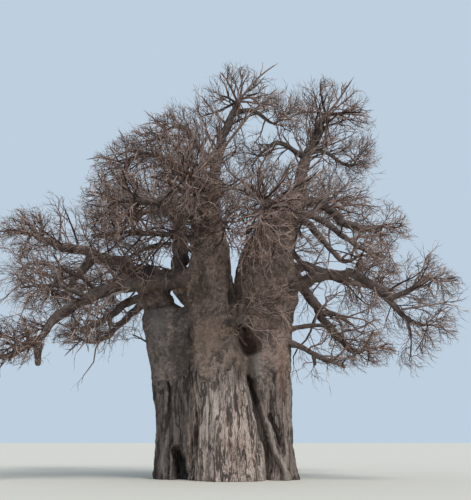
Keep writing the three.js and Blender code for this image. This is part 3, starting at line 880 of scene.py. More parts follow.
class Mass:
    """One mass of twigs, which starts by the same rule as its solid and is carried to finer twigs."""

    # How many first twigs there are for the size of the space, its stem, its tints and its skin
    FEWEST = 3
    ROOM = 0.5
    STEM_END = 0.5
    MARGIN = 0.04
    STATIONS = (0, 0.2, 0.4, 0.6, 0.8, 1.0)
    TINTS = 4
    FIRST_TINTS = 3
    RAGGED = (0.8, 1.05)

    # The first twigs: their feet on the stem, how near the skin they go, and how they bend
    FEET = (0.4, 0.98)
    FIRST_DEPTH = 0.97
    FIRST_THICK = 0.4
    FIRST_ARCH = (0, 0.16)
    FIRST_SWAY = (-0.12, 0.12)
    FIRST_TRIES = (1.0, 0.85, 0.7, 0.55, 0.4)

    # The sweeping ones: how many for each first one, where they leave the bough and the stem, and how
    SWEEPS = 1.9
    SWEEP_NUMBER = 50
    SWEEP_DEPTH = (0.8, 1.0)
    SWEEP_PLACES = (0.4, 1, 10)
    SWEEP_STEM_PLACES = (0.1, 0.9, 7)
    SWEEP_ANGLE = (0.9, 0.35)
    SWEEP_ALONG = 0.5
    SWEEP_THICK = (0.007, 0.016)
    SWEEP_THICKEST = 0.55
    SWEEP_HABIT = Habit((-0.02, 0.14), 0.1, 0.04)

    # The finer orders, and the rings and sides of each order's twigs
    SECONDS = Order(6, (0.15, 0.95), (0.5, 1.05), 0.7, (0.0105, 0.034), 0.95, 100,
                    Habit(kink=0.08, droop=0.02), 0.15, True)
    THIRDS = Order(3, (0.1, 0.97), (0.5, 1.05), 0.65, (0.0092, 0.0155), 0.9, 3000,
                   Habit((-0.04, 0.1), 0.1, 0.07, 0.03), 0.3, True)
    FOURTHS = Order(2, (0.1, 0.9), (0.5, 1.05), 0.45, (0.0082, 0.0105), 0.75, 9000,
                    Habit((-0.05, 0.1), 0.12, 0.06, 0.04), 0.35)
    MESHED = ((7, 6), (6, 4), (3, 3), (2, 3))

    def __init__(self, name: str, seed: int, reach: Reach, skeleton: Skeleton) -> None:
        """Finds the space of the mass and its stem, from the tip of its bough to the middle.

        Args:
            name: The name that it shares with its bough.
            seed: The number that its chances start from.
            reach: Its size.
            skeleton: The tree that it belongs to.
        """
        self.name, self.seed, self.skeleton = name, seed, skeleton
        self.bough = skeleton.boughs[name]
        self.space = Space(self.bough, reach)
        self.fullness = reach.fullness
        self.count = round(self.FEWEST + reach.spread / self.ROOM)
        point, heading = self.bough.end()
        radius = (self.bough.radius[1], self.bough.radius[1] * self.STEM_END)
        self.stem = Limb(point + heading * Bough.GAP, self.space.centre, radius, heading=heading)

    def firsts(self) -> Twigs:
        """Grows the first twigs from the stem, spread evenly towards the skin of the space.

        Returns:
            The twigs.
        """
        index = np.arange(self.count)
        skin = self.skin(self.count, self.FIRST_DEPTH, 1)
        foot = self.stem.path(lerp(*self.FEET, (index + chance(self.seed, index, 2)) / self.count))
        radius = np.full(self.count, self.stem.radius[0] * self.FIRST_THICK)
        arch = lerp(*self.FIRST_ARCH, chance(self.seed, index, 3))[:, None]
        sway = lerp(*self.FIRST_SWAY, chance(self.seed, index, 4))[:, None]

        def make(share: float) -> Twigs:
            """Makes them all.

            Args:
                share: How much of their length they have.

            Returns:
                The twigs.
            """
            run = (skin - foot) * share
            length = np.linalg.norm(run, axis=1, keepdims=True)
            side = unit(np.stack((-run[:, 1], run[:, 0], np.zeros(self.count)), axis=1))
            bends = np.zeros((self.count, 4, 3))
            bends[:, 0] = (UP * arch + side * sway) * length
            return Twigs(foot, foot + run, radius, bends, index % self.FIRST_TINTS)

        return fitted(make, self.FIRST_TRIES, self.owned)

    def skin(self, count: int, depth: Array | float, choice: int) -> Array:
        """Finds places spread evenly round the space.

        Args:
            count: How many.
            depth: How far out they are, from 0 at the middle to 1 on the skin.
            choice: The chance that turns them all.

        Returns:
            The places.
        """
        index = np.arange(count)
        height = 1 - (2 * index + 1) / count
        angle = index * GOLDEN_ANGLE + 2 * math.pi * chance(self.seed, 0, choice)
        ring = np.sqrt(1 - height * height)
        direction = np.stack((ring * np.cos(angle), ring * np.sin(angle), height), axis=1)
        return direction * self.space.half * np.reshape(depth, (-1, 1)) + self.space.centre

    def sweeps(self) -> Twigs:
        """Grows twigs that leave the end of the bough and the stem at a slant, out to the skin.

        Returns:
            The twigs.
        """
        count = round(self.count * self.SWEEPS * self.fullness)
        index = np.arange(count)
        number = index + self.SWEEP_NUMBER
        goal = self.skin(count, lerp(*self.SWEEP_DEPTH, chance(self.seed, number, 22)), 23)
        shares, more = np.linspace(*self.SWEEP_PLACES), np.linspace(*self.SWEEP_STEM_PLACES)
        stations = [(self.bough, self.bough.even(shares)), (self.stem, self.stem.even(more))]
        axis = np.concatenate([limb.path(t) for limb, t in stations])
        heading = np.concatenate([limb.heading(t) for limb, t in stations])
        away = goal[:, None] - axis
        slant = (unit(away) * heading).sum(-1)
        wanted = slant >= lerp(*self.SWEEP_ANGLE, chance(self.seed, number, 24))[:, None]
        last = np.where(wanted.any(1), len(axis) - 1 - np.argmax(wanted[:, ::-1], axis=1), 0)
        foot, along = axis[last], heading[last]
        length = np.linalg.norm(goal - foot, axis=1)
        toward = unit(goal - foot)
        leaving = unit(toward + along * self.SWEEP_ALONG)
        thin, thicker = self.SWEEP_THICK
        radius = np.minimum(thin + thicker * length, self.stem.radius[0] * self.SWEEP_THICKEST)
        tint = (index + 1) % self.FIRST_TINTS
        return fitted(lambda share: self.SWEEP_HABIT.grown(foot, leaving, toward, length * share, radius,
                                                           tint, self.seed, number),
                      self.FIRST_TRIES, self.inside)

    def owned(self, twigs: Twigs) -> Array:
        """Tells which twigs are in this space, more than in any other, and off every limb.

        Args:
            twigs: The twigs.

        Returns:
            True for each twig that may stay.
        """
        points = twigs.at(*self.STATIONS)
        depth = self.space.depth(points)
        good = depth <= 1
        for other in self.skeleton.masses:
            if other is not self:
                good &= other.space.depth(points) >= depth + self.MARGIN
        radius = twigs.radius[:, None] * (1 - np.array(self.STATIONS))
        touched = self.skeleton.touched(points.reshape(-1, 3), radius.ravel(), self.name)
        return (good & ~touched.reshape(good.shape)).all(axis=1)

    def inside(self, twigs: Twigs) -> Array:
        """Tells which twigs end in the space, whose skin is ragged, and are clear.

        Args:
            twigs: The twigs.

        Returns:
            True for each twig that may stay.
        """
        odds = twigs.odds(self.seed)
        good = self.space.depth(twigs.tip) <= lerp(*self.RAGGED, odds)
        return good & self.skeleton.clear(twigs, odds)

    def build(self, tints: Sequence[Material]) -> Piece:
        """Grows every order of twigs and joins them.

        Args:
            tints: The plain finishes that are dealt out by spray.

        Returns:
            The piece, which stands for the solid of the mass.
        """
        firsts = Twigs.joined((self.firsts(), self.sweeps()))
        seconds = self.SECONDS.branch(firsts, self.seed, self.inside)
        thirds = self.THIRDS.branch(Twigs.joined((firsts, seconds)), self.seed, self.inside)
        fourths = self.FOURTHS.branch(thirds, self.seed, self.inside)
        mesh = TwigMesh(f"{self.name}_spray")
        for twigs, (rings, sides) in zip((firsts, seconds, thirds, fourths), self.MESHED):
            mesh.add(twigs, rings, sides)
        piece = mesh.build(tints)
        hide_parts(f"{self.name}_twigs")
        return piece


@dataclass
class SideTwigs:
    """Branches that grow all along one bough or leader, with their own finer twigs.

    Their length is the least and the most, their thickness a radius and what each metre adds to it.
    """

    name: str
    line: Limb
    seed: int
    skeleton: Skeleton
    spacing: float
    length: tuple[float, float]
    bare: float = 0.2
    most_bare: float = 0.6
    fewest: int = 4
    rise: float = 0.25
    slant: tuple[float, float] = (0.2, 1.1)
    leaving: tuple[float, float] = (-0.3, 0.5)
    thick: tuple[float, float] = (0.008, 0.018)
    thickest: float = 0.5
    rooted: float = 0.6
    short_power: float = 1.3
    first_habit: Habit = Habit((-0.02, 0.12), 0.12, 0.07, 0.03)
    seconds: Order = Order(4, (0.15, 0.95), (0.55, 1.1), 0.6, (0.011, 0.024), 0.85, 20000,
                           Habit(kink=0.07, droop=0.03), 0.3, True)
    thirds: Order = Order(3, (0.15, 0.97), (0.5, 1.1), 0.6, (0.009, 0.0145), 0.8, 26000,
                          Habit((-0.04, 0.1), 0.1, 0.06, 0.04), 0.35, True)
    fourths: Order = Order(2, (0.2, 0.95), (0.5, 1.05), 0.4, (0.008, 0.0105), 0.65, 40000,
                           Habit((-0.05, 0.1), 0.12, 0.05, 0.05), 0.45)
    meshed: tuple[tuple[int, int], ...] = ((6, 5), (4, 3), (3, 3), (2, 3))

    def free(self, twigs: Twigs) -> Array:
        """Tells which twigs are clear, and inside the tree's own box.

        Args:
            twigs: The twigs.

        Returns:
            True for each twig that may stay.
        """
        points = twigs.at(*Twigs.TRIED_AT)
        low, high = (np.array(corner) for corner in CAD_BOX)
        boxed = ((points > low) & (points < high)).all(axis=(1, 2))
        return boxed & self.skeleton.clear(twigs, twigs.odds(self.seed))

    def build(self, tints: Sequence[Material]) -> Piece:
        """Grows the branches and their twigs and joins them.

        Args:
            tints: The plain finishes that are dealt out by spray.

        Returns:
            The piece.
        """
        line = self.line
        sunk = (line.sunk + line.radius[0]) / line.length
        bare = min(self.most_bare, sunk + self.bare * (line.sunk > 0))
        count = max(self.fewest, round((1 - bare) * line.length / self.spacing))
        index = np.arange(count)
        shares = lerp(bare, 1.0, (index + chance(self.seed, index, 41)) / count)
        t = line.even(shares)
        axis = line.heading(t)
        roll = index * GOLDEN_ANGLE + 2 * math.pi * chance(self.seed, 0, 42)
        across = unit(np.cross(axis, LEANING_UP))
        out = across * np.cos(roll)[:, None] + np.cross(across, axis) * np.sin(roll)[:, None]
        slant = lerp(*self.slant, chance(self.seed, index, 43))[:, None]
        toward = unit(out + axis * slant + UP * self.rise)
        leaving = unit(toward + out * lerp(*self.leaving, chance(self.seed, index, 46))[:, None])
        foot = line.path(t) + out * (line.radius_at(shares) * self.rooted)[:, None]
        length = lerp(*self.length, chance(self.seed, index, 44) ** self.short_power)
        thin, thicker = self.thick
        radius = np.minimum(thin + thicker * length, line.radius_at(shares) * self.thickest)
        tint = index % Mass.FIRST_TINTS
        firsts = fitted(lambda share: self.first_habit.grown(foot, leaving, toward, length * share, radius,
                                                             tint, self.seed, index),
                        Order.TRIES, self.free)
        seconds = self.seconds.branch(firsts, self.seed, self.free)
        thirds = self.thirds.branch(seconds, self.seed, self.free)
        fourths = self.fourths.branch(thirds, self.seed, self.free)
        mesh = TwigMesh(f"{self.name}_side_spray")
        for twigs, (rings, sides) in zip((firsts, seconds, thirds, fourths), self.meshed):
            mesh.add(twigs, rings, sides)
        return mesh.build(tints)


# Modelling by extruded rings, and relief pressed into a surface

WEIGHT_STEPS = 40


@dataclass(frozen=True)
class Ring:
    """One round section of a limb that is being modelled."""

    place: Vector
    axis: Vector
    radius: float


def deselect() -> None:
    """Leaves nothing selected."""
    bpy.ops.object.select_all(action="DESELECT")


def pick(piece: Piece) -> None:
    """Selects one piece and makes it the active one.

    Args:
        piece: The piece.
    """
    deselect()
    piece.select_set(True)
    bpy.context.view_layer.objects.active = piece


def loft(name: str, rings: Sequence[Ring], sides: int) -> Piece:
    """Models a closed limb from a disc that is extruded, turned and resized from ring to ring.

    Args:
        name: The name of the piece.
        rings: Its sections from foot to tip.
        sides: How many sides it has.

    Returns:
        The piece, at the origin.
    """
    deselect()
    first = rings[0]
    turned = first.axis.to_track_quat("Z", "Y").to_euler()
    bpy.ops.mesh.primitive_circle_add(vertices=sides, radius=first.radius, fill_type="NGON",
                                      location=first.place, rotation=turned)
    piece = bpy.context.object
    bpy.ops.object.transform_apply(location=True, rotation=True, scale=True)
    bpy.ops.object.mode_set(mode="EDIT")
    bpy.ops.mesh.select_all(action="SELECT")
    for before, after in zip(rings, rings[1:]):
        bpy.ops.mesh.extrude_region_move(TRANSFORM_OT_translate={"value": after.place - before.place})
        turn = before.axis.rotation_difference(after.axis).to_euler("XYZ")
        for letter, angle in zip("XYZ", turn):
            if abs(angle) > TINY:
                bpy.ops.transform.rotate(value=-angle, orient_axis=letter, center_override=after.place)
        grown = after.radius / before.radius
        bpy.ops.transform.resize(value=(grown, grown, grown), center_override=after.place)
    bpy.ops.mesh.select_all(action="SELECT")
    bpy.ops.mesh.normals_make_consistent(inside=False)
    bpy.ops.object.mode_set(mode="OBJECT")
    piece.name = piece.data.name = name
    return piece


def rings_along(points: Array, radii: Array) -> list[Ring]:
    """Finds rings square to the line through some points.

    Args:
        points: The middles of the rings.
        radii: The radius of each.

    Returns:
        The rings.
    """
    axes = unit(np.gradient(points, axis=0))
    return [Ring(Vector(point), Vector(axis), float(radius))
            for point, axis, radius in zip(points, axes, radii)]


def finish_by(piece: Piece, kind: str, **settings: object) -> None:
    """Adds a modifier to a piece, sets it and applies it.

    Args:
        piece: The piece.
        kind: The type of modifier.
        settings: Its settings by name.
    """
    pick(piece)
    modifier = piece.modifiers.new(kind.lower(), kind)
    for name, value in settings.items():
        setattr(modifier, name, value)
    bpy.ops.object.modifier_apply(modifier=modifier.name)


def triples(rows: bpy.types.bpy_prop_collection, name: str) -> Array:
    """Reads a vector from each row of a mesh.

    Args:
        rows: The rows, such as the vertices.
        name: The name of the vector.

    Returns:
        One vector for each row.
    """
    held = np.empty(len(rows) * 3, np.float32)
    rows.foreach_get(name, held)
    return held.reshape(-1, 3).astype(float)


def places(piece: Piece) -> Array:
    """Returns the places of a piece's vertices."""
    return triples(piece.data.vertices, "co")


def facing(piece: Piece) -> Array:
    """Returns the directions in which a piece's vertices face."""
    return triples(piece.data.vertex_normals, "vector")


def hold(piece: Piece, name: str, values: Array) -> None:
    """Keeps one number for each vertex with the mesh, for its finish."""
    held = piece.data.attributes.new(name, "FLOAT", "POINT")
    held.data.foreach_set("value", values.astype(np.float32))


def weigh(piece: Piece, name: str, weights: Array) -> None:
    """Paints a vertex group, in a limited number of steps.

    Args:
        piece: The piece.
        name: The group's name.
        weights: One weight from 0 to 1 for each vertex.
    """
    group = piece.vertex_groups.new(name=name)
    steps = np.round(np.clip(weights, 0, 1) * WEIGHT_STEPS).astype(int)
    for step in range(1, WEIGHT_STEPS + 1):
        rows = np.flatnonzero(steps == step)
        if len(rows):
            group.add(rows.tolist(), step / WEIGHT_STEPS, "REPLACE")


def dress(piece: Piece, material: Material) -> None:
    """Shades a piece smooth and gives it its finish.

    Args:
        piece: The piece.
        material: Its finish.
    """
    pick(piece)
    bpy.ops.object.shade_smooth()
    piece.data.materials.clear()
    piece.data.materials.append(material)


def relieved(piece: Piece, reliefs: Sequence[Relief]) -> None:
    """Presses layers of relief into a piece, and holds how far each vertex is raised for its finish.

    Args:
        piece: The piece.
        reliefs: The layers.
    """
    even, normals = places(piece), facing(piece)
    for relief in reliefs:
        relief.press(piece)
    raised = ((places(piece) - even) * normals).sum(axis=1)
    hold(piece, "relief", raised - raised.mean())


class Grain(Enum):
    """Kinds of relief in three dimensions."""

    LUMPS = "CLOUDS"
    CRESTS = "MUSGRAVE"


@dataclass(frozen=True)
class Relief:
    """One layer of relief: its kind, its height, the size of its forms and how far they are drawn out."""

    grain: Grain
    height: float
    size: float
    stretch: Triple = (1.0, 1.0, 1.0)
    group: str = ""
    middle: float = 0.5

    DEPTH = 3
    CREST_STRENGTH = 0.45

    def press(self, piece: Piece) -> None:
        """Presses the layer into a piece.

        Args:
            piece: The piece.
        """
        texture = bpy.data.textures.new("relief", self.grain.value)
        texture.noise_scale = self.size
        if self.grain is Grain.CRESTS:
            texture.musgrave_type = "RIDGED_MULTIFRACTAL"
            texture.octaves = self.DEPTH
            texture.noise_intensity = self.CREST_STRENGTH
        else:
            texture.noise_depth = self.DEPTH
        holder = bpy.data.objects.new("relief_holder", None)
        bpy.context.scene.collection.objects.link(holder)
        holder.scale = self.stretch
        bpy.context.view_layer.update()
        finish_by(piece, "DISPLACE", texture=texture, texture_coords="OBJECT",
                  texture_coords_object=holder, strength=self.height, mid_level=self.middle,
                  vertex_group=self.group)
        bpy.data.objects.remove(holder)
        bpy.data.textures.remove(texture)


@dataclass(frozen=True)
class Fold:
    """A rib, groove or hollow on the front of the trunk, along a line of x and z."""

    line: tuple[tuple[float, float], ...]
    width: float
    height: float
    behind: float = 0.0
    straight_in: bool = False
    fray: float = 0.03

    FRAY_WAVES = (3.4, 3.7)
    END_WIDTH, END_GAIN = 0.55, 0.45
    END_LENGTH = 1.0
    CORE = 0.1

    def press(self, piece: Piece, number: int) -> Array:
        """Raises or sinks the surface along the line.

        Args:
            piece: The trunk.
            number: The number of the fold.

        Returns:
            How much of it each vertex has.
        """
        spots = places(piece)
        flat = spots[:, (0, 2)]
        flat = flat + self.fray * np.sin(flat[:, ::-1] * self.FRAY_WAVES + number)
        nearest = np.full(len(flat), np.inf)
        for start, end in zip(self.line, self.line[1:]):
            start, run = np.array(start), np.array(end) - np.array(start)
            share = np.clip(((flat - start) @ run) / (run @ run), 0, 1)
            nearest = np.minimum(nearest, np.linalg.norm(flat - start - share[:, None] * run, axis=1))
        group = f"fold_{number}"
        from_end = np.minimum(np.abs(flat[:, 1] - self.line[0][1]), self.END_LENGTH)
        width = self.width * (self.END_WIDTH + self.END_GAIN * from_end if self.height < 0 else 1.0)
        weights = (1 - ease(self.CORE, 1.0, nearest / width)) * (spots[:, 1] < self.behind)
        weigh(piece, group, weights)
        direction = "Y" if self.straight_in else "NORMAL"
        strength = -self.height if self.straight_in else self.height
        finish_by(piece, "DISPLACE", strength=strength, mid_level=0.0, direction=direction,
                  vertex_group=group)
        return weights


# Shader maths and finishes


class Field:
    """A number socket of a shader, with arithmetic that adds Math nodes."""

    def __init__(self, board: Board, socket: Socket) -> None:
        """Holds a socket of the board."""
        self.board, self.socket = board, socket

    def _with(self, operation: str, first: Field | float, second: Field | float) -> Field:
        """Returns the Math node's result for two values."""
        return self.board.number("ShaderNodeMath", {"operation": operation}, [first, second])

    def __add__(self, other: Field | float) -> Field:
        """Returns the sum."""
        return self._with("ADD", self, other)

    __radd__ = __add__

    def __sub__(self, other: Field | float) -> Field:
        """Returns the difference."""
        return self._with("SUBTRACT", self, other)

    def __rsub__(self, other: float) -> Field:
        """Returns the difference the other way round."""
        return self._with("SUBTRACT", other, self)

    def __mul__(self, other: Field | float) -> Field:
        """Returns the product."""
        return self._with("MULTIPLY", self, other)

    __rmul__ = __mul__

    def above(self, low: float, high: float) -> Field:
        """Returns 0 below low, 1 above high and a smooth rise between."""
        settings = {"interpolation_type": "SMOOTHSTEP", "clamp": True}
        return self.board.number("ShaderNodeMapRange", settings, [self, low, high, 0.0, 1.0])


@dataclass(frozen=True)
class Noise:
    """Noise from about 0 to 1, drawn out along an axis whose stretch is small."""

    scale: float
    detail: float = 4.0
    stretch: Triple = (1.0, 1.0, 1.0)
    rough: float = 0.55
    warp: float = 0.0

    MIDDLE = 0.5


def blend(fields: dict[str, Field], parts: Sequence[tuple[str, float]]) -> Field:
    """Returns the sum of some fields, each times its share."""
    first, *others = (fields[name] * share for name, share in parts)
    return sum(others, first)


def linear(colour: Colour) -> tuple[float, float, float, float]:
    """Returns a colour of 0 to 255 steps as the light it stands for, by the usual screen curve."""
    shares = (step / 255 for step in colour)
    return (*(s / 12.92 if s <= 0.04045 else ((s + 0.055) / 1.055) ** 2.4 for s in shares), 1.0)


class Board:
    """The nodes of one material."""

    SHEEN = 0.25
    MIXED = (6, 7)
    MIX_RESULT = 2

    def __init__(self, name: str, roughness: float) -> None:
        """Makes the material with its main shader.

        Args:
            name: Its name.
            roughness: Its roughness.
        """
        self.material = bpy.data.materials.new(name)
        self.material.use_nodes = True
        self.tree = self.material.node_tree
        self.shader = self.tree.nodes["Principled BSDF"]
        self.shader.inputs["Roughness"].default_value = roughness
        self.shader.inputs["Specular IOR Level"].default_value = self.SHEEN

    def node(self, kind: str, settings: dict[str, object], values: Sequence[object] | dict[str, object]
             ) -> bpy.types.Node:
        """Adds a node.

        Args:
            kind: Its type.
            settings: Its own settings, made first.
            values: Values or links of its sockets, in order, or by name or number.

        Returns:
            The node.
        """
        node = self.tree.nodes.new(kind)
        for name, value in settings.items():
            setattr(node, name, value)
        named = values.items() if isinstance(values, dict) else enumerate(values)
        for key, value in named:
            socket = node.inputs[key]
            if isinstance(value, Field):
                self.tree.links.new(value.socket, socket)
            elif isinstance(value, Socket):
                self.tree.links.new(value, socket)
            else:
                socket.default_value = value
        return node

    def number(self, kind: str, settings: dict[str, object], values: Sequence[object] | dict[str, object]
               ) -> Field:
        """Adds a node, as the method above does, and returns its first result."""
        return Field(self, self.node(kind, settings, values).outputs[0])

    def place(self) -> Socket:
        """Returns the object's own coordinates."""
        return self.node("ShaderNodeTexCoord", {}, {}).outputs["Object"]

    def axis(self, letter: str) -> Field:
        """Returns one of the object's own coordinates."""
        return Field(self, self.node("ShaderNodeSeparateXYZ", {}, [self.place()]).outputs[letter])

    def attribute(self, name: str) -> Field:
        """Returns a number held by the mesh."""
        node = self.node("ShaderNodeAttribute", {"attribute_name": name}, {})
        return Field(self, node.outputs["Fac"])

    def noise(self, kind: Noise) -> Field:
        """Adds noise.

        Args:
            kind: Its scale and form.

        Returns:
            The noise over the object's own coordinates.
        """
        drawn = self.node("ShaderNodeMapping", {}, {"Vector": self.place(), "Scale": kind.stretch})
        values = {"Vector": drawn.outputs[0], "Scale": kind.scale, "Detail": kind.detail,
                  "Roughness": kind.rough, "Distortion": kind.warp}
        return self.number("ShaderNodeTexNoise", {}, values)

    def colours(self, share: Field, low: Socket | Colour,
                high: Socket | Colour) -> Socket:
        """Mixes two colours, each a value or a link.

        Args:
            share: How much of the second there is.
            low: The first.
            high: The second.

        Returns:
            The mixed colour.
        """
        shades = {number: linear(value) if isinstance(value, tuple) else value
                  for number, value in zip(self.MIXED, (low, high))}
        mix = self.node("ShaderNodeMix", {"data_type": "RGBA"}, {0: share, **shades})
        return mix.outputs[self.MIX_RESULT]

    def dress(self, colour: Socket, height: Field, depth: float) -> Material:
        """Feeds the colour and the relief to the main shader.

        Args:
            colour: The base colour.
            height: The relief.
            depth: The real height of the relief.

        Returns:
            The material.
        """
        bump = self.node("ShaderNodeBump", {}, {"Height": height, "Distance": depth, "Strength": 1.0})
        self.tree.links.new(bump.outputs[0], self.shader.inputs["Normal"])
        self.tree.links.new(colour, self.shader.inputs["Base Color"])
        return self.material


@dataclass(frozen=True)
class Coat:
    """A thin layer of another colour, which lies where a field is above a span, or below it."""

    field: str
    colour: Colour
    share: float
    span: tuple[float, float] | None = None
    below: bool = False

    def over(self, board: Board, bark: Socket, fields: dict[str, Field]
             ) -> Socket:
        """Lays the coat over a colour.

        Args:
            board: The nodes of the bark.
            bark: The colour under it.
            fields: The fields of the bark by name.

        Returns:
            The colour with the coat.
        """
        mask = fields[self.field]
        mask = mask.above(*self.span) if self.span else mask
        return board.colours((1 - mask if self.below else mask) * self.share, bark, self.colour)


@dataclass(frozen=True)
class Patch:
    """A patch of another colour on the front of the trunk: its middle and half size in x and z."""

    colour: Colour
    middle: tuple[float, float]
    half: tuple[float, float]
    strength: float

    FRAY = 7.0
    EDGE = (0.4, 1.2)
    FRONT = (-0.7, -0.1)
    GRAIN = (0.43, 0.57)
    GRAIN_LEAST, GRAIN_GAIN = 0.62, 0.38

    def over(self, board: Board, bark: Socket, ragged: Field) -> Socket:
        """Lays the patch over a colour.

        Args:
            board: The nodes of the bark.
            bark: The colour under it.
            ragged: Noise that frays its edge.

        Returns:
            The colour with the patch.
        """
        across = (board.axis("X") - self.middle[0]) * (1 / self.half[0])
        up = (board.axis("Z") - self.middle[1]) * (1 / self.half[1])
        near = 1 - (across * across + up * up + (ragged - Noise.MIDDLE) * self.FRAY).above(*self.EDGE)
        front = 1 - board.axis("Y").above(*self.FRONT)
        grain = self.GRAIN_LEAST + ragged.above(*self.GRAIN) * self.GRAIN_GAIN
        return board.colours(near * front * grain * self.strength, bark, self.colour)


@dataclass(frozen=True)
class TrunkFinish:
    """Bark of the trunk: smooth and brown above, in fissured grey plates below."""

    # Dark of the cracks, also painted as shade in the hollows of the relief
    crack_and_shade: Colour = (54, 45, 41)
    plate: Colour = (206, 185, 171)
    plate_dark: Colour = (174, 155, 143)
    plate_right: Colour = (112, 98, 90)
    # Pale of the fibres, also painted as highlight on raised relief and ribs
    pale_and_highlight: Colour = (206, 193, 181)
    rust: Colour = (150, 121, 104)
    skin: Colour = (128, 108, 97)
    skin_dark: Colour = (98, 83, 75)
    skin_light: Colour = (146, 130, 118)
    tan: Colour = (158, 139, 128)
    # Grey of the left stem's skin, darkened as painted shade
    slate_and_shade: Colour = (106, 99, 97)
    # Lighter colour of worn spots in the skin, which also paints light on the lower skin
    worn_and_lit: Colour = (172, 149, 134)
    grit: Colour = (70, 60, 55)
    shade: Colour = (96, 88, 84)
    patches: tuple[Patch, ...] = (
        Patch((142, 119, 103), (-0.7, 5.6), (0.7, 0.8), 0.5),
        Patch((118, 113, 109), (-2.9, 6.2), (0.4, 0.7), 0.7),
        Patch((150, 143, 136), (1.15, 4.5), (0.36, 0.6), 0.7),
        Patch((142, 108, 92), (2.3, 4.3), (0.22, 1.3), 0.5),
        Patch((62, 55, 48), (-1.85, 5.0), (0.5, 1.0), 0.8),
        Patch((64, 57, 50), (0.3, 4.2), (0.42, 0.72), 0.6),
        # Painted shadow at the root of the front stub
        Patch((50, 43, 38), (0.4, 6.15), (0.45, 0.2), 0.7),
        Patch((66, 58, 51), (-1.0, 7.5), (0.5, 0.6), 0.75),
        Patch((58, 50, 45), (1.2, 8.75), (0.42, 0.22), 0.8),
        Patch((52, 44, 40), (2.55, 7.55), (0.13, 0.12), 0.8),
        Patch((52, 44, 40), (1.68, 7.2), (0.12, 0.12), 0.8),
        # Painted shade: a near-black slot in the crotch between the centre and right stems
        Patch((30, 25, 23), (0.17, 7.3), (0.13, 0.4), 0.95),
        # Painted shade inside the hollow at the foot of the trunk
        Patch((28, 24, 22), (-1.83, 0.6), (0.32, 0.42), 0.9),
        Patch((56, 48, 43), (1.35, 3.35), (0.3, 0.6), 0.8),
        Patch((222, 212, 200), (-0.73, 2.35), (0.06, 1.0), 0.9),
        Patch((206, 195, 183), (-1.0, 1.7), (0.05, 0.5), 0.7),
        Patch((200, 188, 176), (-0.3, 3.0), (0.05, 0.7), 0.6),
    )
    noises: tuple[tuple[str, Noise], ...] = (
        ("broad", Noise(1.1, 5.0, (1.0, 1.0, 0.6), 0.6, 0.4)),
        ("mottle", Noise(3.1, 6.0, (1.0, 1.0, 0.8), 0.68)),
        ("slabs", Noise(2.3, 4.0, (1.0, 1.0, 0.1), 0.55, 0.25)),
        ("streaks", Noise(6.5, 6.0, (1.0, 1.0, 0.1), 0.6, 0.35)),
        ("fibres", Noise(19.0, 5.0, (1.0, 1.0, 0.12), 0.62)),
        ("breaks", Noise(4.5, 4.0, (0.5, 0.5, 1.4), 0.6, 0.6)),
        ("wrinkles", Noise(4.0, 6.0, (0.3, 0.3, 1.8), 0.62, 0.6)),
        ("specks", Noise(7.5, 7.0, rough=0.78)),
        ("dirt", Noise(1.9, 6.0, (1.0, 1.0, 0.7), 0.72, 0.5)),
    )
    skin_coats: tuple[Coat, ...] = (
        Coat("mottle", skin_light, 0.5, (0.52, 0.68)),
        Coat("right", tan, 0.5),
        # Painted light: the skin is lighter lower down, and the upper skin is left darker as painted shade
        # under the crown
        Coat("low", worn_and_lit, 0.7),
        # Painted shade: the left stem's skin is painted greyer and darker, over its own grey tone
        Coat("left", slate_and_shade, 0.75),
        Coat("dirt", grit, 0.75, (0.5, 0.62)),
        Coat("dirt", worn_and_lit, 0.6, (0.36, 0.48), True),
        Coat("fold", grit, 0.35, (0.0, 0.0014), True),
        Coat("specks", grit, 0.7, (0.51, 0.6)),
        Coat("specks", worn_and_lit, 0.6, (0.38, 0.47), True),
    )
    plate_coats: tuple[Coat, ...] = (
        Coat("fibres", pale_and_highlight, 0.3, (0.54, 0.66)),
        Coat("broad", rust, 0.4, (0.5, 0.66)),
        # Painted shade on the left stem's plates
        Coat("left", shade, 0.8),
        Coat("beyond", plate_right, 0.65),
        Coat("gash", crack_and_shade, 0.45, (0.0, 0.0016), True),
        Coat("gap", crack_and_shade, 0.7, (0.0, 0.0014), True),
        Coat("split", crack_and_shade, 0.85, (0.0002, 0.0016), True),
        Coat("breaks", shade, 0.35, (0.62, 0.7)),
    )
    top_coats: tuple[Coat, ...] = (
        # Painted shade in the hollows of the relief
        Coat("relief", crack_and_shade, 0.6, (-0.1, -0.03), True),
        # Painted highlight on the raised relief of the plates
        Coat("raised", pale_and_highlight, 0.4),
        # Painted highlight along the raised ribs
        Coat("rib_highlight", pale_and_highlight, 0.22),
    )
    roughness: float = 0.92
    depth: float = 0.09

    # Thin lines along the middle level of a noise
    LINES = (("split", "slabs"), ("gap", "streaks"), ("gash", "fibres"), ("fold", "wrinkles"))

    # Where the finishes meet: heights and places in metres, and how far noise frays them
    # The first span is where the painted light on the lower skin fades out
    LOW, LOW_FRAY, LOW_RIGHT, LOW_DROP = (4.3, 6.6), 2.0, (0.7, 1.2), 1.4
    # The second span sets how far above the plates' edge their painted shadow reaches
    PLATED, LIP, EDGE_FRAY = (-0.04, 0.1), (0.1, 0.3), 1.3
    # The first span marks the left stem, which is painted as in shade
    LEFT, LEFT_FRAY, LEFT_UNDER = (-1.6, -1.3), 0.6, (6.6, 7.6)
    RIGHT, RIGHT_FRAY, RIGHT_UNDER = (0.7, 1.6), 1.2, (5.0, 6.6)
    BEYOND, BEYOND_FRAY, BEYOND_TOP, BEYOND_LEAN = (0.9, 1.4), 0.8, 3.0, 0.25

    # The spans over which the lighter skin, the lighter plates and the painted highlight on their raised
    # parts come
    SKIN_SPAN, PLATE_SPAN, RAISED = (0.36, 0.56), (0.4, 0.6), (0.02, 0.09)

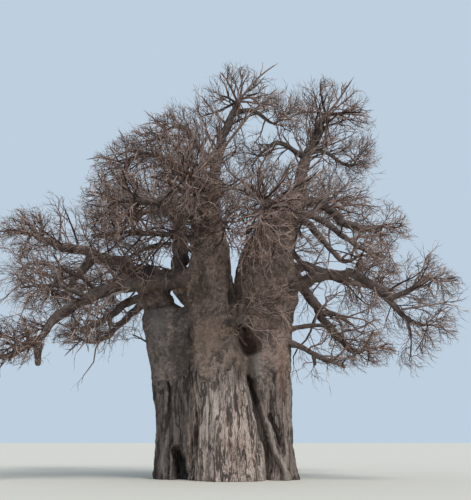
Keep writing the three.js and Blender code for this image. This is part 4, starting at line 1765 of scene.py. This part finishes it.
    # How much each field counts where they are added, and how strong the painted shadow along the plates'
    # upper edge is
    RAGGED = (("mottle", 0.6), ("specks", 0.4))
    SLABBED = (("slabs", 0.5), ("streaks", 0.5))
    PLATE_BUMP = (("slabs", 1.0), ("streaks", 0.7), ("fibres", 0.4), ("breaks", 0.3))
    WRINKLE_BUMP, SPECK_BUMP = 0.5, 0.3
    LIP_SHARE = 0.5

    def locate(self, board: Board, fields: dict[str, Field]) -> None:
        """Adds the fields that say where on the trunk each finish lies.

        Args:
            board: The nodes of the bark.
            fields: The fields made so far.
        """
        x, z = board.axis("X"), board.axis("Z")
        broad, mottle = fields["broad"] - Noise.MIDDLE, fields["mottle"] - Noise.MIDDLE
        # Painted light: the lighter lower skin, whose top noise frays and which drops to the right
        above_low = z + broad * self.LOW_FRAY + x.above(*self.LOW_RIGHT) * self.LOW_DROP
        fields["low"] = 1 - above_low.above(*self.LOW)
        edge = fields["edge"] + mottle * self.EDGE_FRAY
        fields["plated"] = 1 - edge.above(*self.PLATED)
        # Painted shadow in a band just above the plates' upper edge, as if cast by the peeling plates
        fields["lip"] = (1 - edge.above(*self.LIP)) * (1 - fields["plated"])
        # Painted shade: the left stem, up to the span under its top
        left = 1 - (x + mottle * self.LEFT_FRAY).above(*self.LEFT)
        fields["left"] = left * (1 - z.above(*self.LEFT_UNDER))
        right = (x + broad * self.RIGHT_FRAY).above(*self.RIGHT)
        fields["right"] = right * (1 - z.above(*self.RIGHT_UNDER))
        leaning = x + mottle * self.BEYOND_FRAY - (self.BEYOND_TOP - z) * self.BEYOND_LEAN
        fields["beyond"] = leaning.above(*self.BEYOND)
        # Painted highlight: the raised relief of the plates
        fields["raised"] = fields["relief"].above(*self.RAISED) * fields["plated"]

    def made(self) -> Material:
        """Builds the material.

        Returns:
            The material.
        """
        board = Board("trunk_bark", self.roughness)
        fields = {name: board.attribute(name) for name in ("relief", "edge", "rib_highlight")}
        fields |= {name: board.noise(kind) for name, kind in self.noises}
        for line, source in self.LINES:
            off_middle = fields[source] - Noise.MIDDLE
            fields[line] = off_middle * off_middle
        self.locate(board, fields)
        smooth = board.colours(fields["broad"].above(*self.SKIN_SPAN), self.skin_dark, self.skin)
        for coat in self.skin_coats:
            smooth = coat.over(board, smooth, fields)
        slabbed = blend(fields, self.SLABBED)
        plates = board.colours(slabbed.above(*self.PLATE_SPAN), self.plate_dark, self.plate)
        for coat in self.plate_coats:
            plates = coat.over(board, plates, fields)
        bark = board.colours(fields["plated"], smooth, plates)
        # Painted shadow along the plates' upper edge
        bark = board.colours(fields["lip"] * self.LIP_SHARE, bark, self.shade)
        ragged = blend(fields, self.RAGGED)
        # Some patches are painted shadow and painted shade in hollows and crotches
        for patch in self.patches:
            bark = patch.over(board, bark, ragged)
        for coat in self.top_coats:
            bark = coat.over(board, bark, fields)
        bump = blend(fields, self.PLATE_BUMP) * fields["plated"]
        bump += fields["wrinkles"] * (1 - fields["plated"]) * self.WRINKLE_BUMP
        return board.dress(bark, bump + fields["specks"] * self.SPECK_BUMP, self.depth)


@dataclass(frozen=True)
class BoughFinish:
    """Bark of the boughs: brown-grey, with darker blotches, a fine grain and painted shade in the hollows
    of its relief.
    """

    main: Colour = (114, 99, 91)
    dark: Colour = (72, 62, 58)
    light: Colour = (140, 125, 116)
    noises: tuple[tuple[str, Noise], ...] = (
        ("blotch", Noise(2.0, 5.0, rough=0.65, warp=0.3)),
        ("grain", Noise(9.0, 6.0, rough=0.68)),
        ("fine", Noise(34.0, 4.0, rough=0.65)),
    )
    coats: tuple[Coat, ...] = (
        Coat("grain", light, 0.6, (0.55, 0.7)),
        Coat("line", dark, 0.5, (0.0, 0.0012), True),
        Coat("fine", dark, 0.4, (0.56, 0.7)),
        # Painted shade in the hollows of the relief
        Coat("relief", dark, 0.75, (-0.05, 0.0), True),
    )
    blotch_span: tuple[float, float] = (0.36, 0.58)
    roughness: float = 0.9
    depth: float = 0.06

    BUMP = (("grain", 1.0), ("fine", 0.4), ("blotch", 0.4))

    def made(self) -> Material:
        """Builds the material.

        Returns:
            The material.
        """
        board = Board("bough_bark", self.roughness)
        fields = {"relief": board.attribute("relief")}
        fields |= {name: board.noise(kind) for name, kind in self.noises}
        off_middle = fields["grain"] - Noise.MIDDLE
        fields["line"] = off_middle * off_middle
        bark = board.colours(fields["blotch"].above(*self.blotch_span), self.dark, self.main)
        for coat in self.coats:
            bark = coat.over(board, bark, fields)
        return board.dress(bark, blend(fields, self.BUMP), self.depth)


TWIG_ROUGHNESS = 0.88


class Tint(Enum):
    """Plain colours of the twigs, dealt out by spray: a spread of tone that the dark and the tan tints
    widen, as painted shade and painted light on the twigs.
    """

    BROWN = (128, 102, 91)
    GREY = (150, 131, 123)
    DARK = (62, 48, 44)
    TAN = (196, 168, 153)

    def made(self) -> Material:
        """Returns the material of this tint."""
        board = Board(f"twig_{self.name.lower()}", TWIG_ROUGHNESS)
        board.shader.inputs["Base Color"].default_value = linear(self.value)
        return board.material


# The dressed pieces


@dataclass(frozen=True)
class Burl:
    """A rounded swelling of the trunk: its middle and half size."""

    middle: Triple
    half: Triple

    SEGMENTS, RINGS = 24, 14

    def build(self) -> Piece:
        """Models the swelling from a ball that is resized.

        Returns:
            The form.
        """
        deselect()
        bpy.ops.mesh.primitive_uv_sphere_add(segments=self.SEGMENTS, ring_count=self.RINGS, radius=1.0)
        form = bpy.context.object
        form.scale = self.half
        form.location = self.middle
        bpy.ops.object.transform_apply(location=True, rotation=True, scale=True)
        return form


@dataclass
class TrunkBark:
    """The bark of the trunk and its leaders, as one skin with relief that replaces their solids."""

    skeleton: Skeleton
    finish: TrunkFinish = field(default_factory=TrunkFinish)
    voxel: float = 0.052
    triangles: int = 190000
    sides: int = 36
    ring_step: float = 0.4
    below: float = 0.25
    leader_below: float = 0.5
    flutes: int = 7
    flute_depth: float = 0.05
    limb_sides: int = 16
    collar_rings: int = 8
    collar_swell: tuple[float, float] = (1.45, 0.82)
    collar_power: float = 0.8
    collar_reach: float = 2.2
    sleeve: tuple[float, float] = (0.7, 1.5)
    sleeve_rings: int = 7
    sleeve_swell: tuple[float, float] = (1.08, 0.8)
    smoothing: tuple[float, int] = (0.5, 5)
    edge_level: float = 3.95
    edge_blend: tuple[float, float] = (-0.12, 0.16)
    least_plated: float = 0.12
    fillets: tuple[Stem, ...] = (
        Stem((-1.25, -0.85, 0.62), (-1.4, -0.8, 0.5), (-1.75, -0.5, 0.5), 7.0),
        Stem((0.95, -0.55, 0.25), (0.95, -0.6, 0.3), (0.75, -0.6, 0.85), 7.4),
    )
    burls: tuple[Burl, ...] = (
        Burl((-3.0, -0.1, 7.35), (0.8, 0.75, 0.5)),
        Burl((-1.7, -0.5, 7.8), (0.6, 0.6, 0.48)),
        Burl((-3.1, -0.2, 7.85), (0.8, 0.55, 0.34)),
        Burl((-0.05, -1.9, 6.1), (0.55, 0.45, 0.5)),
        Burl((-0.8, -0.9, 9.6), (0.75, 0.6, 0.9)),
        Burl((2.35, -0.3, 10.3), (0.75, 0.7, 0.8)),
    )
    broad: tuple[Relief, ...] = (
        Relief(Grain.LUMPS, 0.2, 1.2, (1, 1, 1.6)),
        Relief(Grain.LUMPS, 0.24, 0.42, (1, 1, 6), "plated"),
    )
    fine: tuple[Relief, ...] = (
        Relief(Grain.CRESTS, -0.13, 0.27, (1, 1, 8), "plated", 0.3),
        Relief(Grain.LUMPS, 0.09, 0.15, (1, 1, 5), "plated"),
        Relief(Grain.LUMPS, 0.09, 0.4, (2.4, 2.4, 0.7), "smooth"),
        Relief(Grain.LUMPS, 0.06, 0.16, (1, 1, 1.3)),
    )
    folds: tuple[Fold, ...] = (
        Fold(((0.6, 6.3), (0.72, 5.75), (0.98, 5.3)), 0.52, -1.0, 0.3, True),
        Fold(((-1.98, 1.05), (-1.75, 0.25)), 0.5, -1.1, 0.3, True),
        Fold(((0.88, 4.05), (1.14, 2.97), (1.43, 2.0), (1.62, 1.29), (1.66, 0.0)), 0.24, -0.5, 0.3, True),
        Fold(((0.76, 3.9), (1.2, 2.63), (1.45, 1.58), (1.5, 0.0)), 0.2, 0.12, 0.0, True),
        Fold(((1.4, 2.9), (1.72, 1.77), (1.92, 1.2), (2.25, 0.58), (2.42, 0.0)), 0.19, 0.2, 0.3, True),
        Fold(((1.75, 2.5), (2.05, 1.75), (2.3, 1.1)), 0.16, -0.25),
        Fold(((-2.39, 3.8), (-2.27, 2.52), (-2.3, 0.3)), 0.16, -0.22),
        Fold(((-1.44, 4.6), (-1.4, 2.26), (-1.33, 0.3)), 0.15, -0.2),
        Fold(((-1.9, 3.6), (-1.75, 1.6)), 0.14, -0.16),
    )

    # The tongues of the plates' upper edge: the girth's radius, then sizes, numbers of waves and phases
    GIRTH_RADIUS = 3.3
    TONGUES = (0.3, 2.1, 0.6)
    POINTS = (0.3, 4.3, 0.15)
    NOTCHES = (0.14, 13.0, 1.0)

    def column(self, name: str, column: Stem | Leader) -> Piece:
        """Models one stem or leader from level rings, with flutes up its sides.

        Args:
            name: Its name.
            column: Its line and radius.

        Returns:
            The form.
        """
        bottom = column.bottom - (self.below if isinstance(column, Stem) else self.leader_below)
        levels = np.linspace(bottom, column.top, math.ceil((column.top - bottom) / self.ring_step) + 1)
        rings = [Ring(Vector(column.point_at(z)), Vector(UP), column.radius_at(max(z, 0.0)))
                 for z in levels]
        piece = loft(f"{name}_form", rings, self.sides)
        spots = places(piece)
        for row, spot in enumerate(spots):
            middle = column.point_at(spot[2])
            away = spot[:2] - middle[:2]
            flute = self.flute_depth * math.cos(self.flutes * math.atan2(away[1], away[0]) + middle[0])
            spots[row, :2] += away * flute
        piece.data.vertices.foreach_set("co", spots.astype(np.float32).ravel())
        return piece

    def collar(self, name: str, limb: Limb) -> Piece:
        """Models the swollen root of a bough, where it leaves the trunk or a leader.

        Args:
            name: The name of the bough.
            limb: Its line.

        Returns:
            The form.
        """
        reach = (limb.sunk + self.collar_reach * limb.radius[0]) / limb.length
        shares = np.linspace(limb.start, reach, self.collar_rings)
        swell = lerp(*self.collar_swell, np.linspace(0, 1, self.collar_rings) ** self.collar_power)
        rings = rings_along(limb.path(limb.even(shares)), limb.radius_at(shares) * swell)
        return loft(f"{name}_collar", rings, self.limb_sides)

    def sleeved(self, name: str, limb: Limb) -> Piece:
        """Models the rounded shoulder of a leader round the bough that carries it on.

        Args:
            name: The name of the bough.
            limb: Its line.

        Returns:
            The form.
        """
        back, ahead = self.sleeve
        shares = np.linspace(0, ahead / limb.length, self.sleeve_rings)
        points = limb.path(limb.even(shares))
        radii = limb.radius_at(shares) * lerp(*self.sleeve_swell, np.linspace(0, 1, self.sleeve_rings))
        points = np.concatenate(([points[0] - UP * back], points))
        rings = rings_along(points, np.concatenate(([radii[0]], radii)))
        return loft(f"{name}_sleeve", rings, self.limb_sides)

    def forms(self) -> list[Piece]:
        """Models every form that the skin is drawn over.

        Returns:
            The forms.
        """
        forms = [self.column(name, column) for name, column in self.skeleton.columns.items()]
        forms += [self.column(f"fillet_{number}", stem) for number, stem in enumerate(self.fillets)]
        forms += [burl.build() for burl in self.burls]
        for name, row in BOUGHS.items():
            if row.carrier in self.skeleton.columns:
                model = self.sleeved if row.at == TIP else self.collar
                forms.append(model(name, self.skeleton.boughs[name]))
        return forms

    def skin(self) -> Piece:
        """Joins the forms under one skin, and drops what is shut inside it.

        Returns:
            The skin, smoothed.
        """
        forms = self.forms()
        deselect()
        for form in forms:
            form.select_set(True)
        bpy.context.view_layer.objects.active = forms[0]
        bpy.ops.object.join()
        joined = bpy.context.object
        finish_by(joined, "REMESH", mode="VOXEL", voxel_size=self.voxel)
        bpy.ops.object.mode_set(mode="EDIT")
        bpy.ops.mesh.select_all(action="SELECT")
        bpy.ops.mesh.separate(type="LOOSE")
        bpy.ops.object.mode_set(mode="OBJECT")
        shells = sorted(bpy.context.selected_objects, key=lambda shell: -len(shell.data.polygons))
        for scrap in shells[1:]:
            bpy.data.objects.remove(scrap)
        piece = shells[0]
        piece.name = piece.data.name = "trunk_bark"
        factor, iterations = self.smoothing
        finish_by(piece, "SMOOTH", factor=factor, iterations=iterations)
        return piece

    def edge(self, spots: Array) -> Array:
        """Finds how far places are above the frayed upper edge of the plates.

        Args:
            spots: The places.

        Returns:
            The height of each over the edge, less than 0 on the plates.
        """
        round_way = np.arctan2(spots[:, 0], -spots[:, 1]) * self.GIRTH_RADIUS
        size, waves, phase = self.TONGUES
        high, points, drop = self.POINTS
        tongues = size * np.sin(round_way * waves + phase)
        tongues = tongues + high * np.abs(np.sin(round_way * points)) - drop
        size, waves, phase = self.NOTCHES
        return spots[:, 2] - self.edge_level - tongues - size * np.sin(round_way * waves + phase)

    def build(self) -> Piece:
        """Draws the skin over the forms and presses the relief into it.

        Returns:
            The dressed piece.
        """
        piece = self.skin()
        edge = self.edge(places(piece))
        plated = 1 - ease(*self.edge_blend, edge)
        weigh(piece, "plated", np.maximum(plated, self.least_plated))
        weigh(piece, "smooth", 1 - plated)
        for relief in self.broad:
            relief.press(piece)
        # The raised ribs, which the bark's finish paints with a highlight
        rib_highlight = np.zeros(len(edge))
        for number, fold in enumerate(self.folds):
            weights = fold.press(piece, number)
            rib_highlight = np.maximum(rib_highlight, weights * (fold.height > 0))
        relieved(piece, self.fine)
        hold(piece, "edge", edge)
        hold(piece, "rib_highlight", rib_highlight)
        self.cut_level(piece)
        triangles = sum(len(polygon.vertices) - 2 for polygon in piece.data.polygons)
        finish_by(piece, "DECIMATE", ratio=min(1.0, self.triangles / triangles))
        dress(piece, self.finish.made())
        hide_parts("trunk", *(f"{name}_leader" for name in LEADERS))
        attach(piece, BODY)
        return piece

    @staticmethod
    def cut_level(piece: Piece) -> None:
        """Cuts the foot flat at ground level and closes the cut.

        Args:
            piece: The trunk.
        """
        pick(piece)
        bpy.ops.object.mode_set(mode="EDIT")
        bpy.ops.mesh.select_all(action="SELECT")
        bpy.ops.mesh.bisect(plane_co=(0, 0, 0), plane_no=(0, 0, 1), use_fill=True, clear_inner=True)
        bpy.ops.object.mode_set(mode="OBJECT")


@dataclass
class BoughBark:
    """The gnarled bark of one bough, which runs on into the stem of its mass, or into the next bough."""

    name: str
    limb: Limb
    seed: int
    mass: Mass | None
    goes_on: bool
    material: Material
    sides: int = 10
    step: float = 0.24
    fewest_rings: tuple[int, int] = (5, 3)
    collar: float = 0.4
    collar_length: float = 0.9
    overlap: float = 0.35
    overlap_ends: tuple[float, float] = (0.9, 0.85)
    gnarl: float = 0.24
    gnarl_thick: tuple[float, float] = (0.06, 0.3)
    knots: float = 0.13
    tip_share: float = 0.22
    still: tuple[float, float] = (0.3, 1.4)
    full_relief: float = 0.4
    least_relief: float = 0.12
    reliefs: tuple[Relief, ...] = (
        Relief(Grain.LUMPS, 0.14, 0.5, group="thick"),
        Relief(Grain.CRESTS, 0.07, 0.35, group="thick", middle=0.4),
        Relief(Grain.LUMPS, 0.05, 0.13, group="thick"),
    )

    # The lengths and shares of the waves in which it bends aside
    SWINGS = ((1.7, 1.0), (0.9, 0.7), (0.5, 0.35))

    def line(self) -> tuple[Array, Array]:
        """Finds the rings, from the sunk foot to the end of the mass's stem.

        Returns:
            The places and the radii.
        """
        limb = self.limb
        fewest, fewest_more = self.fewest_rings
        start_radius, end_radius = self.overlap_ends
        shares = np.linspace(limb.start, 1, max(fewest, math.ceil(limb.length / self.step)))
        clear = np.maximum(0, shares * limb.length - limb.sunk)
        swell = 1 + self.collar * np.exp(-clear / (self.collar_length * limb.radius[0])) * limb.collared
        points, radii = limb.path(limb.even(shares)), limb.radius_at(shares) * swell
        if not limb.collared:
            back = points[0] - limb.heading(np.zeros(1))[0] * self.overlap
            points = np.concatenate(([back], points))
            radii = np.concatenate(([radii[0] * start_radius], radii))
        if self.goes_on:
            ahead = points[-1] + limb.heading(np.ones(1))[0] * self.overlap
            points = np.concatenate((points, [ahead]))
            radii = np.concatenate((radii, [radii[-1] * end_radius]))
        if self.mass:
            stem = self.mass.stem
            more = np.linspace(0, 1, max(fewest_more, math.ceil(stem.length / self.step)) + 1)[1:]
            points = np.concatenate((points, stem.path(stem.even(more))))
            radii = np.concatenate((radii, stem.radius[0] * lerp(1, self.tip_share, more)))
        return points, radii

    def gnarled(self, points: Array, radii: Array) -> tuple[Array, Array]:
        """Bends the line aside and knots it, more in the middle than at the ends.

        Args:
            points: The middles of the rings.
            radii: The radius of each.

        Returns:
            The middles and the radii of the gnarled rings.
        """
        along = np.concatenate(([0.0], np.cumsum(np.linalg.norm(np.diff(points, axis=0), axis=1))))
        room = ease(*self.still, along)
        if self.goes_on:
            room = room * ease(*self.still, along[-1] - along)
        swing = np.zeros_like(points)
        for choice, (size, share) in enumerate(self.SWINGS, 31):
            for way in range(3):
                phase = 2 * math.pi * chance(self.seed, way, choice)
                swing[:, way] += share * np.sin(2 * math.pi * along / size + phase)
        knots = lerp(-1, 1, chance(self.seed, np.arange(len(radii)), 34))
        thick = np.clip(radii, *self.gnarl_thick)
        bent = points + swing * (thick * self.gnarl * room)[:, None]
        return bent, radii * (1 + self.knots * knots * room)

    def build(self) -> Piece:
        """Models the bough and presses the relief into it.

        Returns:
            The dressed piece.
        """
        points, radii = self.gnarled(*self.line())
        piece = loft(f"{self.name}_bark", rings_along(points, radii), self.sides)
        finish_by(piece, "SUBSURF", levels=2, render_levels=2)
        nearest = np.argmin(np.linalg.norm(places(piece)[:, None] - points, axis=2), axis=1)
        weigh(piece, "thick", np.clip(radii[nearest] / self.full_relief, self.least_relief, 1.0))
        relieved(piece, self.reliefs)
        dress(piece, self.material)
        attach(piece, BODY)
        return piece


# The studio


@dataclass(frozen=True)
class Studio:
    """The floor, the light and the camera.

    The camera looks up until the horizon is as far below the middle as in the photo. That, the focal
    length and the picture's height are in the photo's pixels.
    """

    floor_size: float = 900.0
    floor_colour: Colour = (206, 199, 186)
    floor_roughness: float = 0.95
    sky: Colour = (190, 207, 223)
    sky_strength: float = 1.0
    sun_strength: float = 2.2
    sun_angle: float = 24.0
    sun_turn: Triple = (38.0, 12.0, 20.0)
    eye: Triple = EYE
    horizon_below: int = 190
    focal_pixels: int = 860
    picture_height: int = 500
    sensor: float = 36.0

    FLOOR_SIDES = 96
    FLOOR_GAP = 0.002

    def build(self) -> None:
        """Lays the floor, lights the tree and sets the camera."""
        deselect()
        bpy.ops.mesh.primitive_circle_add(vertices=self.FLOOR_SIDES, radius=self.floor_size / 2,
                                          fill_type="NGON")
        floor = bpy.context.object
        floor.name = floor.data.name = "floor"
        floor.location.z = -self.FLOOR_GAP
        board = Board("floor_paper", self.floor_roughness)
        board.shader.inputs["Base Color"].default_value = linear(self.floor_colour)
        floor.data.materials.append(board.material)
        world = bpy.data.worlds.new("sky")
        bpy.context.scene.world = world
        world.use_nodes = True
        backdrop = world.node_tree.nodes["Background"]
        backdrop.inputs["Color"].default_value = linear(self.sky)
        backdrop.inputs["Strength"].default_value = self.sky_strength
        lamp = bpy.data.lights.new("soft_sun", "SUN")
        lamp.energy, lamp.angle = self.sun_strength, math.radians(self.sun_angle)
        sun = bpy.data.objects.new("soft_sun", lamp)
        sun.rotation_euler = [math.radians(turn) for turn in self.sun_turn]
        bpy.context.scene.collection.objects.link(sun)
        held = bpy.data.cameras.new("camera")
        held.lens = self.focal_pixels * self.sensor / self.picture_height
        held.sensor_width, held.sensor_fit = self.sensor, "AUTO"
        held.clip_end = 2 * self.floor_size
        camera = bpy.data.objects.new("camera", held)
        camera.location = self.eye
        camera.rotation_euler = (math.pi / 2 + math.atan(self.horizon_below / self.focal_pixels), 0.0, 0.0)
        bpy.context.scene.collection.objects.link(camera)
        bpy.context.scene.camera = camera
        bpy.context.scene.view_settings.view_transform = "Standard"


def report(*pieces: Piece) -> None:
    """Logs how many faces each piece has."""
    for piece in pieces:
        LOG.info("%s has %d faces", piece.name, len(piece.data.polygons))


def main() -> None:
    """Builds the studio and the dressed tree, piece by piece."""
    logging.basicConfig(level=logging.INFO, format="%(name)s: %(message)s")
    Studio().build()
    skeleton = Skeleton()
    report(TrunkBark(skeleton).build())
    material = BoughFinish().made()
    tints = [tint.made() for tint in Tint]
    masses = {mass.name: mass for mass in skeleton.masses}
    carried_on = {row.carrier for row in BOUGHS.values() if row.at == TIP}
    for seed, (name, row) in enumerate(BOUGHS.items(), BOUGH_SEEDS):
        limb = skeleton.boughs[name]
        piece = BoughBark(name, limb, seed, masses.get(name), name in carried_on, material).build()
        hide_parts(f"{name}_bough")
        report(piece, SideTwigs(name, limb, seed, skeleton, row.spacing, row.strands).build(tints))
    for seed, name in enumerate(LEADERS, LEADER_SEEDS):
        leader = skeleton.columns[f"{name}_leader"]
        radii = (leader.radius_at(TWIGS_FROM), leader.radius)
        line = Limb(leader.point_at(TWIGS_FROM), leader.end()[0], radii)
        side = SideTwigs(f"{name}_leader", line, seed, skeleton, LEADER_SPACING, LEADER_STRANDS)
        report(side.build(tints))
    for seed, (name, row) in enumerate(SLENDER.items(), SLENDER_SEEDS):
        limb = skeleton.slender[name]
        piece = BoughBark(name, limb, seed, None, False, material).build()
        report(piece, SideTwigs(name, limb, seed, skeleton, row.spacing, row.strands).build(tints))
    for mass in skeleton.masses:
        report(mass.build(tints))
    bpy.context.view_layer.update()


if __name__ == "__main__":
    main()
